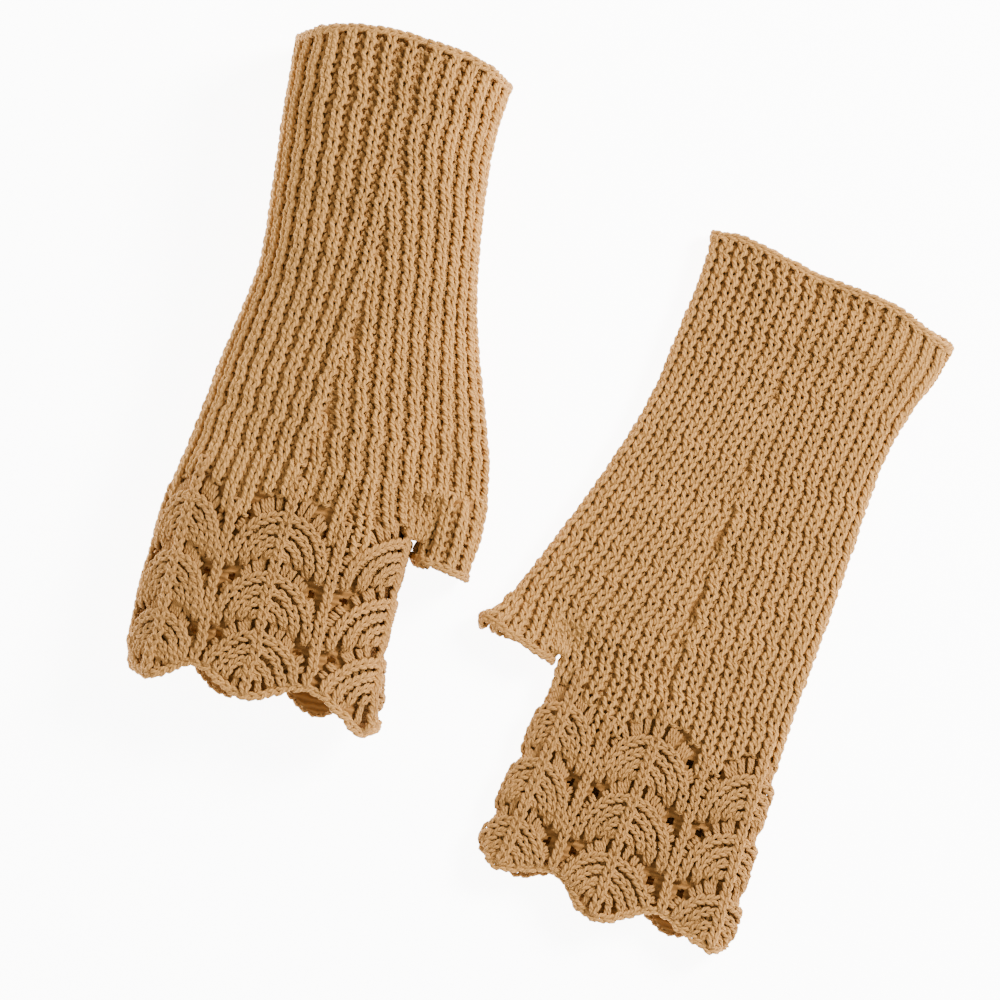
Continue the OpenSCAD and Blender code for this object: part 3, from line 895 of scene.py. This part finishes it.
def web_piece(hand, glove):
    """Ribs that run together into the crotch, on both faces, with a deeper layer that closes the gaps."""
    form, strands = glove["stitch"], []
    t = np.linspace(0, 1, 14)
    s = glove["root"] - 1.2 + (glove["web"] - glove["root"] + 1.2) * t
    for out in (1, -1):
        for deep, ribs in WEB_LAYERS:
            for k in ribs:
                r = glove["crotch"] + k * 0.66 * glove["rib"] * (1 - 0.72 * t ** 1.3)
                z = np.array([web_height(glove, a, b, out > 0) for a, b in zip(r, s)])
                z = np.maximum(z - out * (form["yarn"] + 0.9 + deep), form["yarn"] + 0.5)
                spot = to_frame(glove, np.stack([r, s, z], 1))
                normal = np.tile((0.0, 0.0, float(out)), (len(r), 1))
                strands += chain(spot, normal, 3.0, 0.95 * form["yarn"], glove["course"], lift=0.5)
    return yarn_piece(hand + "_crotch_ribs", strands)


for hand, glove in GLOVES.items():
    ribbed[hand]["web"] = web_piece(hand, glove)

# %% [markdown]
# ## One column of shells
# Row by row: the rays that stand outside the ridge, the ridge, three arches inside it, and the short bars
# between them. Rays are left out on either side, and on the back the ground is cut away there too: those are
# the eyelets. The last row opens into a fan, because nothing is knitted on below it. The first rays lie where
# the knuckles bend, so they are a piece of their own.

# %% Shells
EYELET = 47       # degrees from the spine
EYELET_AT = 1.24  # how far from the focus an eyelet is, in sizes of the ridge
ARCHES = (  # size, turn in degrees, width in mm, share of the yarn's radius, mm to a stitch, mm outwards
    (1.00, 99, 3.0, 0.95, 2.9, -0.6),
    (0.74, 93, 2.7, 0.88, 2.8, -1.0),
    (0.50, 84, 2.5, 0.84, 2.7, -1.1),
    (0.28, 66, 2.2, 0.80, 2.5, -1.3))
BARS = ((0.79, 0.95, 11), (0.55, 0.70, 15))  # between which sizes, and degrees from bar to bar
BAR_LEG = 0.035   # from a long bar's middle to each leg, as a share of the column's half width
RAY_WOBBLE = (1.3, 0.03)  # degrees, and sizes of the ridge
NO_RAY = 5        # degrees on either side of an eyelet that hold no ray


def shell_column(glove, column):
    """All strands of one column of shells."""
    strands = []
    thick = glove["stitch"]["yarn"]
    for row, apex in enumerate(glove["apexes"]):
        focus = apex + RISE
        last = row == len(glove["apexes"]) - 1
        limit = 1.5 if last else None
        for phi in np.linspace(-96, 96, 24):
            if abs(phi) < 7 or abs(abs(phi) - EYELET) < NO_RAY or last and abs(phi) > 70:
                continue
            wobble = dice.normal(0, 1, 2) * RAY_WOBBLE
            far = max(outer_size(phi, row), EYELET_AT) + wobble[1]
            strands += ray(glove, column, focus, math.radians(phi + wobble[0]), 1.03, far, 0.84 * thick, -1.5)
        for size, turn, wide, share, pitch, out in ARCHES:
            strands += ridge(glove, column, focus, size, turn, wide, share * thick, pitch, out, limit)
        for near, far, gap in BARS:
            for phi in np.arange(gap, 84, gap):
                for side in (-1, 1):
                    turn = side * math.radians(phi + dice.normal(0, 1.5))
                    at_edge = lobe(glove, column, SHELL * far * math.sin(turn)) - 2.0
                    if not last or focus - RISE * near * math.cos(turn) < at_edge:
                        strands += ray(glove, column, focus, turn, near, far, 0.75 * thick, -1.9)
        for side in (-1, 1):
            for x in (0.2, 0.46, 0.72):
                if last:
                    strands += fan_bar(glove, column, focus, side * x, side * (x * 0.35 + 0.05), 0.88 * thick)
                else:
                    strands += foot_bar(glove, column, focus, side * x, 0.86 * thick)
    end = lobe(glove, column, 0) - 1.8
    strands += spine(glove, column, 0.0, glove["apexes"][0] - 12, end, 3.2, 0.97 * thick, -0.1)
    start, end = glove["apexes"][0] - 2, glove["notch"] - 1.5
    strands += spine(glove, column, 1.0, start, end, 3.0, 0.93 * thick, -0.5)
    return strands


def fan_bar(glove, column, focus, x, top, radius):
    """A loop of the last row, from beside the spine to the scalloped edge."""
    t = np.linspace(0, 1, 9)
    legs = []
    for side in (-BAR_LEG, BAR_LEG):
        across = top + (x * 1.15 + side - top) * t
        start = focus - 6.5
        s = start + (lobe(glove, column, x * 1.15) - 1.0 - start) * t
        points, normals = shell_spot(glove, column, across, s, -1.3 - 0.9 * (2 * t - 1) ** 4)
        # the bar's colour gets an even painted shade
        legs.append(strand(points, normals, radius, painted_shade=0.15))
    return legs


def foot_bar(glove, column, focus, x, radius):
    """A loop inside a shell's foot, down to the next ridge."""
    t = np.linspace(0, 1, 8)
    legs = []
    for side in (-BAR_LEG, BAR_LEG):
        across = x * (1 + 0.25 * t) + side
        s = focus - 5.5 + 4.2 * abs(x) + 5.6 * t
        points, normals = shell_spot(glove, column, across, s, -1.4 - 1.0 * (2 * t - 1) ** 4)
        # the bar's colour gets an even painted shade
        legs.append(strand(points, normals, radius, painted_shade=0.2))
    return legs


# %% Six columns round each glove
laced = {}
for hand, glove in GLOVES.items():
    zones = {"lace_back": [], "lace_palm": [], "rays": []}
    for k in range(6):
        for made in shell_column(glove, k):
            low = to_glove(glove, made[0])[:, 1].mean() < glove["lace"]
            zones["rays" if low else "lace_back" if k < 3 else "lace_palm"].append(made)
    laced[hand] = {"lace_back": yarn_piece(hand + "_lace_shells_back", zones["lace_back"]),
                   "lace_palm": yarn_piece(hand + "_lace_shells_palm", zones["lace_palm"]),
                   "rays": yarn_piece(hand + "_lace_first_rays", zones["rays"])}

# %% [markdown]
# ## Edges
# The bind-off lays a chain of stitches round the scallops, and the same chain finishes the mouth of the cuff
# and the hem of the thumb.

# %% The scalloped bind-off, the mouth and the hem
EDGE_PITCH = 2.9  # mm to a stitch of the edges
EDGE_YARN = 0.72  # the yarn's radius at the mouth and the hem
EDGE_OUT = -1.0   # mm outwards of the tube


def scallop_cord(hand, glove):
    """The bound edge of the lace."""
    lines = []
    for column in (0, 1, 3, 4, 5, 2):
        x = np.linspace(-1, 1, 41)[:-1]
        bumps = 0.55 * abs(np.sin(math.pi * 3.5 * (x + 1)))
        lines.append(shell_spot(glove, column, x, lobe(glove, column, x) - 1.3 + bumps, -1.3 + 0.3 * bumps))
    points = np.concatenate([p for p, _ in lines])
    normals = np.concatenate([n for _, n in lines])
    points, normals = np.concatenate([points, points[:1]]), np.concatenate([normals, normals[:1]])
    return yarn_piece(hand + "_scallop_edge", chain(points, normals, 2.2, 0.74, EDGE_PITCH))


def ring_cord(name, glove, tube, at, station):
    """The bound edge at one end of a tube, near the station at. station(arc) gives where it runs."""
    arc = np.linspace(0, 1, 241) * measure(tube, "length", at)
    spot, normal = place(tube, arc, station(arc), EDGE_OUT)
    points, normals = to_frame(glove, spot), turned(glove, normal)
    return yarn_piece(name, chain(points, normals, 2.0, EDGE_YARN, EDGE_PITCH, lift=0.4))


def bound_edges(hand, glove):
    """The edges of the lace, the cuff and the thumb."""
    sleeve, thumb, hem = glove["sleeve"], glove["thumb"], glove["hem"]
    follow = mouth(glove, sleeve)
    middle = thumb["net"][:, :, 0].mean()
    half = np.ptp(thumb["net"][-1, :, 0]) / 2

    def mouth_line(arc):
        return 0.9 + follow(arc, arc * 0, 0.9)[1]

    def hem_line(arc):
        across = place(thumb, arc, np.full_like(arc, hem), 0)[0][:, 0] - middle
        return hem - 1.0 + glove["hem_slant"] * across / half

    return {"scallops": scallop_cord(hand, glove),
            "mouth": ring_cord(hand + "_cast_on_cord", glove, sleeve, 0, mouth_line),
            "hem": ring_cord(hand + "_thumb_hem_cord", glove, thumb, hem, hem_line)}


for hand, glove in GLOVES.items():
    laced[hand] |= bound_edges(hand, glove)

# %% [markdown]
# ## The ground of the fabric
# Between the loops one sees more yarn, crossing behind. It's made as a thin sheet inside the loops, one to
# each section, which also closes the fabric from the inside. Its colour is darker than the yarn's: painted
# shade, since little light reaches in there. The lace's sheet follows the scallops and is cut away at the
# eyelets, so that they are true holes.

# %% Ground sheets
GROUND = 2.75  # mm from the fabric's outside in to the sheet
THIN = 0.6     # mm of wall


def ground(name, glove, tube, stations, start, stop, depth=GROUND, edge=None, keep=None, step=1.6):
    """A sheet inside a tube, round it from start(s) to stop(s). edge(share) ends it, keep chooses faces."""
    around = stop(stations[0]) - start(stations[0])
    closed = abs(around - measure(tube, "length", stations[0])) < 0.01
    columns = int(around / step)
    t = np.linspace(0, 1, columns + 1)[:columns if closed else None]
    rows = []
    for n, s in enumerate(stations):
        at = np.full_like(t, s)
        if edge is not None:
            at = stations[0] + (edge(t) - stations[0]) * n / (len(stations) - 1)
        rows.append(place(tube, start(at) + (stop(at) - start(at)) * t, at, -depth)[0])
    points = np.array(rows)
    _, j, quads = grid_quads(len(stations) - 1, columns, len(stations), len(t))
    if keep is not None:
        middle = points.reshape(-1, 3)[quads].mean(1)
        share = t[j.ravel()] + 0.5 / columns
        quads = quads[keep(share, middle[:, 1])]
    mesh = bpy.data.meshes.new(name)
    mesh.from_pydata(to_frame(glove, points).reshape(-1, 3).tolist(), [], quads.tolist())
    sheet = add_object(name, mesh)
    bpy.ops.object.select_all(action="DESELECT")
    sheet.select_set(True)
    bpy.context.view_layer.objects.active = sheet
    bpy.ops.object.mode_set(mode="EDIT")
    bpy.ops.mesh.select_all(action="SELECT")
    bpy.ops.mesh.delete_loose()  # the points left in the eyelets
    bpy.ops.mesh.select_all(action="SELECT")
    bpy.ops.mesh.normals_make_consistent(inside=False)
    bpy.ops.object.mode_set(mode="OBJECT")
    wall = sheet.modifiers.new("wall", "SOLIDIFY")
    wall.thickness = THIN * MM
    wall.offset = -1
    bpy.ops.object.modifier_apply(modifier=wall.name)
    bpy.ops.object.shade_smooth()
    print(name, "has", len(sheet.data.polygons), "faces")
    return sheet


# %% Where the lace's sheet ends and is open
def all_round(tube):
    """Where a sheet that closes on itself starts and stops."""
    return (lambda s: 0 * s), (lambda s: measure(tube, "length", s))


def shell_of(glove, share):
    """Which column of shells a share of the way round is in, and its x there."""
    column, x = np.zeros(len(share), int), np.zeros(len(share))
    for k, (left, spine, right) in enumerate(glove["columns"]):
        for turn in (-1, 0, 1):
            at = share + turn
            inside = (at >= left) & (at <= right)
            column[inside] = k
            across = np.where(at > spine, (at - spine) / (right - spine), (at - spine) / (spine - left))
            x[inside] = across[inside]
    return column, x


def lace_edge(glove):
    """The scalloped end of the lace's sheet."""
    def edge(share):
        column, x = shell_of(glove, share)
        return np.array([lobe(glove, c, a) for c, a in zip(column, x)]) - 1.0
    return edge


def between_eyelets(glove):
    """Which faces of the lace's sheet stay: all but the eyelets in the three columns on the back."""
    def keep(share, s):
        column, x = shell_of(glove, share)
        keep = np.ones(len(x), bool)
        for apex in glove["apexes"]:
            focus = apex + RISE
            for side in (-1, 1):
                hole_x = side * SHELL * EYELET_AT * math.sin(math.radians(EYELET))
                hole_s = focus - RISE * EYELET_AT * math.cos(math.radians(EYELET))
                away = ((x - hole_x) * 16 / glove["eyelet"]) ** 2 + ((s - hole_s) / glove["eyelet"]) ** 2
                keep &= (away > 1) | (column > 2)
        return keep
    return keep


# %% Seven sheets to a glove
def sheets_of(hand, glove):
    """The ground of each section of a glove."""
    sleeve, fingers, thumb = glove["sleeve"], glove["fingers"], glove["thumb"]
    cuff_end, hand_at = glove["wrist"]
    root, lace = glove["root"], glove["lace"]
    follow = mouth(glove, sleeve)
    gusset = np.linspace(hand_at, root, 28)
    above, below = np.array([crotch_reach(glove, sleeve, s) for s in gusset]).T

    def mouth_edge(t):
        return 1.4 + follow(t * measure(sleeve, "length", 0), 0 * t, 1.0)[1]

    def gusset_from(s):
        return measure(sleeve, "upper", s) - np.interp(s, gusset, above)

    def gusset_to(s):
        return measure(sleeve, "upper", s) + np.interp(s, gusset, below)

    def hand_to(s):
        return gusset_from(s) + measure(sleeve, "length", s)

    def sheet(section, tube, stations, start, stop, **more):
        return ground(f"{hand}_{section}_cloth", glove, tube, stations, start, stop, **more)

    whole = all_round(sleeve)
    return {
        "cuff": sheet("cuff", sleeve, np.linspace(cuff_end, 0, 26), *whole, edge=mouth_edge),
        "wrist": sheet("wrist", sleeve, np.linspace(cuff_end, hand_at, 14), *whole),
        "hand": sheet("hand", sleeve, gusset, gusset_to, hand_to),
        "gusset": sheet("gusset", sleeve, gusset, gusset_from, gusset_to),
        "knuckles": sheet("knuckle", fingers, np.linspace(root, lace, 11), *all_round(fingers)),
        "thumb": sheet("thumb", thumb, np.linspace(root, glove["hem"] - 1.5, 12), *all_round(thumb)),
        "fingers": sheet("lace", fingers, np.linspace(lace, glove["tip"], 62), *all_round(fingers),
                         depth=2.9, edge=lace_edge(glove), keep=between_eyelets(glove), step=1.0)}


grounds = {hand: sheets_of(hand, glove) for hand, glove in GLOVES.items()}

# %% [markdown]
# ## The yarn's finish
# The yarn is a matte cotton blend, spun from three plies. Its colour is a warm camel brown, and shade is
# painted into it where it dives into the fabric. The twist is a sine of the UV map, so it follows every loop;
# it bumps the surface and paints shade into the grooves between the plies. A noise raises the short fibres
# and another shifts the tone from place to place, as hand-dyed yarn does. Smooth shading of one colour would
# look like plastic cord. The lace's colour is a little darker: painted shade, since more of it lies in shade.

# %% Yarn material
PLIES = 3.0  # plies to a yarn


def new_material(name, roughness, gloss):
    """A material, its shader with this roughness and gloss, and a maker of its other nodes."""
    material = bpy.data.materials.new(name)
    material.use_nodes = True
    nodes = material.node_tree.nodes
    shader = nodes["Principled BSDF"]
    shader.inputs["Roughness"].default_value = roughness
    shader.inputs["Specular IOR Level"].default_value = gloss

    def node(kind, inputs=None, **values):
        made = nodes.new("ShaderNode" + kind)
        for key, value in values.items():
            setattr(made, key, value)
        for key, value in (inputs or {}).items():
            made.inputs[key].default_value = value
        return made

    return material, shader, node


def join(material, *pairs):
    """Links sockets two by two."""
    for start, end in pairs:
        material.node_tree.links.new(start, end)
    print("material", material.name, "has", len(material.node_tree.nodes), "nodes")
    return material


def yarn_material(name, light, painted_shade_colour, twist=4.2):
    """Matte plied yarn, light outside, with shade painted in where it lies deep and in the plies' grooves. Its
    plies go round once in twist mm.
    """
    material, shader, node = new_material(name, 0.86, 0.18)
    shader.inputs["Sheen Weight"].default_value = 0.12
    shader.inputs["Sheen Roughness"].default_value = 0.6
    shader.inputs["Sheen Tint"].default_value = (*light, 1)
    uv = node("UVMap", uv_map="Yarn")
    split = node("SeparateXYZ")
    turns = node("Math", {1: UV_LENGTH / twist}, operation="MULTIPLY_ADD")
    wave = node("Math", {1: PLIES * 2 * math.pi}, operation="MULTIPLY")
    ply = node("Math", operation="SINE")
    spot = node("TexCoord")
    fuzz = node("TexNoise", {"Scale": 1800, "Detail": 3})
    tone = node("TexNoise", {"Scale": 90, "Detail": 4})
    depth = node("Attribute", attribute_name="depth")
    # painted shade: the colour runs from the light colour to the dark one as the yarn lies deeper
    painted_shade_ramp = node("ValToRGB")
    painted_shade_ramp.color_ramp.elements[0].color = (*light, 1)
    painted_shade_ramp.color_ramp.elements[1].color = (*painted_shade_colour, 1)
    painted_shade_ramp.color_ramp.elements[1].position = 0.95
    # painted shade in the grooves between the plies: the twist's sine dims the colour
    ply_shade = node("MapRange", {"From Min": -1, "To Min": 0.74, "To Max": 1.07})
    vary = node("MapRange", {"From Min": 0.3, "From Max": 0.7, "To Min": 0.88, "To Max": 1.08})
    both = node("Math", operation="MULTIPLY")
    tint = node("VectorMath", operation="SCALE")
    height = node("Math", {1: 1.1}, operation="MULTIPLY_ADD")
    bump = node("Bump", {"Strength": 0.65, "Distance": 0.00018})
    return join(
        material,
        (uv.outputs[0], split.inputs[0]), (split.outputs["Y"], turns.inputs[0]),
        (split.outputs["X"], turns.inputs[2]), (turns.outputs[0], wave.inputs[0]),
        (wave.outputs[0], ply.inputs[0]), (spot.outputs["Object"], fuzz.inputs["Vector"]),
        (spot.outputs["Object"], tone.inputs["Vector"]), (depth.outputs["Fac"], painted_shade_ramp.inputs[0]),
        (ply.outputs[0], ply_shade.inputs[0]), (tone.outputs[0], vary.inputs[0]),
        (ply_shade.outputs[0], both.inputs[0]), (vary.outputs[0], both.inputs[1]),
        (painted_shade_ramp.outputs[0], tint.inputs[0]), (both.outputs[0], tint.inputs["Scale"]),
        (tint.outputs[0], shader.inputs["Base Color"]), (fuzz.outputs[0], height.inputs[0]),
        (ply.outputs[0], height.inputs[2]), (height.outputs[0], bump.inputs["Height"]),
        (bump.outputs[0], shader.inputs["Normal"]))


# %% The three yarns
YARNS = {
    "rib_yarn": yarn_material("rib_yarn", (0.400, 0.196, 0.050), (0.235, 0.104, 0.024)),
    # the lace's colours are the rib yarn's darkened: painted shade, since more of the lace lies in shade
    "lace_yarn": yarn_material("lace_yarn", (0.350, 0.168, 0.043), (0.205, 0.088, 0.021), twist=4.6),
    "edge_yarn": yarn_material("edge_yarn", (0.385, 0.186, 0.047), (0.215, 0.094, 0.022), twist=3.8)}

# %% [markdown]
# ## The ground's finish
# The sheets behind the loops show only in the furrows and the eyelets, and on the inside of the glove. Their
# colour is darker than the yarn's, as painted shade. A fine wave across them stands for the rows of loops on
# the fabric's other face, as a bump and as painted shade between the rows.

# %% Ground material
LOOP_ROWS = 330  # rows of loops to a metre


def ground_material(name, colour, shade):
    """Rows of small loops, as a bump and as painted shade between the rows."""
    material, shader, node = new_material(name, 0.95, 0.1)
    spot = node("TexCoord")
    wave = node("TexWave", {"Scale": LOOP_ROWS / 2, "Distortion": 3.0, "Detail": 2.0, "Detail Scale": 1.6},
                bands_direction="Y")
    painted_shade_ramp = node("ValToRGB")
    painted_shade_ramp.color_ramp.elements[0].color = (*shade, 1)
    painted_shade_ramp.color_ramp.elements[1].color = (*colour, 1)
    bump = node("Bump", {"Strength": 0.6, "Distance": 0.0004})
    return join(
        material,
        (spot.outputs["Object"], wave.inputs["Vector"]), (wave.outputs["Fac"], painted_shade_ramp.inputs[0]),
        (wave.outputs["Fac"], bump.inputs["Height"]), (painted_shade_ramp.outputs[0], shader.inputs["Base Color"]),
        (bump.outputs[0], shader.inputs["Normal"]))


# the ground's colours are the yarn's with painted shade: darker overall, and darker still between the rows
PAINTED_SHADE_GROUND = ground_material("ground_yarn_painted_shade", (0.250, 0.112, 0.028), (0.165, 0.070, 0.016))

# %% [markdown]
# ## Finishes and rides
# Each section within one body turns with it. The wrist, the knuckles, the gusset and the crotch cross a
# joint, so they are left in the frame, attached to no body.

# %% Give every piece its yarn
SLOTS = {"lace_back": "lace_yarn", "lace_palm": "lace_yarn", "rays": "lace_yarn",
         "scallops": "edge_yarn", "mouth": "edge_yarn", "hem": "edge_yarn"}
for hand in GLOVES:
    ribbed[hand] |= laced[hand]
    for zone, piece in ribbed[hand].items():
        slot = SLOTS.get(zone, "rib_yarn")
        piece.data.materials.append(YARNS[slot])
    for zone, sheet in grounds[hand].items():
        sheet.data.materials.append(PAINTED_SHADE_GROUND)
    print(hand, "glove has", len(ribbed[hand]), "yarn pieces and", len(grounds[hand]), "sheets")

# %% Which body each section turns with
RIDES = {"cuff": "forearm", "mouth": "forearm", "hand": "hand", "thumb": "thumb_part", "hem": "thumb_part",
         "fingers": "fingers", "lace_back": "fingers", "lace_palm": "fingers", "scallops": "fingers"}
HINGE_HEIGHT = 20.0  # mm above the table


def crossings(glove):
    """The sections that cross a joint: their two bodies, and where the turn starts and ends."""
    def spot(r, s):
        """A point (r, s) in the frame."""
        return tuple(to_frame(glove, np.array((r, s, HINGE_HEIGHT))))
    crotch, root = glove["crotch"], glove["root"]
    return {
        "wrist": ("forearm", "hand", spot(0, glove["wrist"][0]), spot(0, glove["wrist"][1])),
        "knuckles": ("hand", "fingers", spot(0, root), spot(0, glove["lace"])),
        "rays": ("hand", "fingers", spot(0, root), spot(0, glove["lace"])),
        "gusset": ("hand", "thumb_part", spot(crotch, root - 14), spot(crotch + 12, root - 2)),
        "web": ("hand", "thumb_part", spot(crotch - 3, root), spot(crotch + 5, root))}


for hand, glove in GLOVES.items():
    for pieces in (ribbed[hand], grounds[hand]):
        for zone, piece in pieces.items():
            if zone in RIDES:
                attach(piece, f"{hand}_{RIDES[zone]}")
            else:
                first, second, start, end = crossings(glove)[zone]
                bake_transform(piece)
    print(hand, "glove's crossings:", sorted(crossings(glove)))

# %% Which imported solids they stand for
STAND_FOR = {"cuff": ("cuff", "cast_on_edge"), "wrist": ("wrist",), "hand": ("back", "palm"),
             "gusset": ("thumb_gusset",), "knuckles": ("knuckles",), "thumb": ("thumb", "thumb_hem"),
             "lace_back": ("lace_back",), "lace_palm": ("lace_palm",),
             "scallops": ("scallops_back", "scallops_palm")}
for hand in GLOVES:
    for zone, solids in STAND_FOR.items():
        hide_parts(*(f"{hand}_{solid}" for solid in solids))
    print(hand, "glove's yarn stands for", sum(len(solids) for solids in STAND_FOR.values()), "solids")

# %% [markdown]
# ## The sheets' sizes
# A knitted sheet is as wide as its ribs and as long as its courses, at the size they have when nothing pulls
# at them: that is the slack glove's gauge. The right glove's sheets are then stretched by the form inside.

SLACK_RIB = 0.0046      # metres across one rib
SLACK_COURSE = 0.00285  # metres along one course
SHELL_WIDE = 0.0245     # metres across one slack shell
LACE_LONG = 0.0565      # metres from the knuckles to the middle of the scallops

for hand, glove in GLOVES.items():
    for zone, sheet in grounds[hand].items():
        with_pieces = [ribbed[hand][zone]]
        if zone == "fingers":
            width, length = 6 * SHELL_WIDE, LACE_LONG
            with_pieces += [ribbed[hand][n] for n in ("lace_back", "lace_palm", "rays", "scallops")]
        else:
            counts = glove["ribs"][zone]
            width, length = float(np.mean(counts)) * SLACK_RIB, len(counts) * SLACK_COURSE
        area = sum(p.area for p in sheet.data.polygons) / 2
        stretch = area / (width * length)
        print(sheet.name, round(width, 4), "by", round(length, 4), "m, now", round(stretch, 2))

# %% [markdown]
# ## Camera, light and floor
# The gloves lie on a white table and are seen from straight above, from far off, so that nothing leans. One
# large lamp high on the right gives each rib its lit and its shaded side, a weaker one fills in from the
# left, and the white surroundings keep the furrows from going black.

# %% Camera
VIEW = 0.300    # metres across the view, at the gloves' height
TURN = 12.96    # degrees
CENTRE = (-0.0127, -0.0040)
DISTANCE = 2.4  # metres above the table
HEIGHT = 0.02   # metres, the gloves' middle height
SENSOR = 36     # mm
bpy.ops.object.camera_add(location=(*CENTRE, DISTANCE), rotation=(0, 0, math.radians(TURN)))
camera = bpy.context.object
camera.data.sensor_width = SENSOR
camera.data.lens = SENSOR * (DISTANCE - HEIGHT) / VIEW
camera.data.clip_end = 20
bpy.context.scene.camera = camera
print("lens of", round(camera.data.lens), "mm")

# %% Floor
FLOOR_AT = -0.0004  # metres, just below the yarn
bpy.ops.mesh.primitive_plane_add(size=6, location=(0, 0, FLOOR_AT))
floor = bpy.context.object
floor.name = "floor"
white, paint, _ = new_material("floor_white", 0.9, 0.5)
paint.inputs["Base Color"].default_value = (0.93, 0.93, 0.92, 1)
paint.inputs["Emission Color"].default_value = (1, 1, 0.99, 1)
paint.inputs["Emission Strength"].default_value = 9.0
floor.data.materials.append(white)
print("floor at", round(floor.location.z, 5), "m")

# %% Lamps
def softbox(name, at, size, power):
    """A square lamp that looks at the gloves."""
    bpy.ops.object.light_add(type="AREA", location=at)
    lamp = bpy.context.object
    lamp.name = name
    lamp.data.size = size
    lamp.data.energy = power
    lamp.rotation_euler = Vector(at).to_track_quat("Z", "Y").to_euler()
    print(name, "gives", power, "W")


softbox("key_light", (0.9, 0.8, 1.0), 0.5, 80)
softbox("fill_light", (-1.0, -0.4, 1.2), 1.2, 10)
world = bpy.data.worlds.new("studio")
world.use_nodes = True
sky = world.node_tree.nodes["Background"]
sky.inputs["Color"].default_value = (1, 1, 1, 1)
sky.inputs["Strength"].default_value = 1.05
bpy.context.scene.world = world
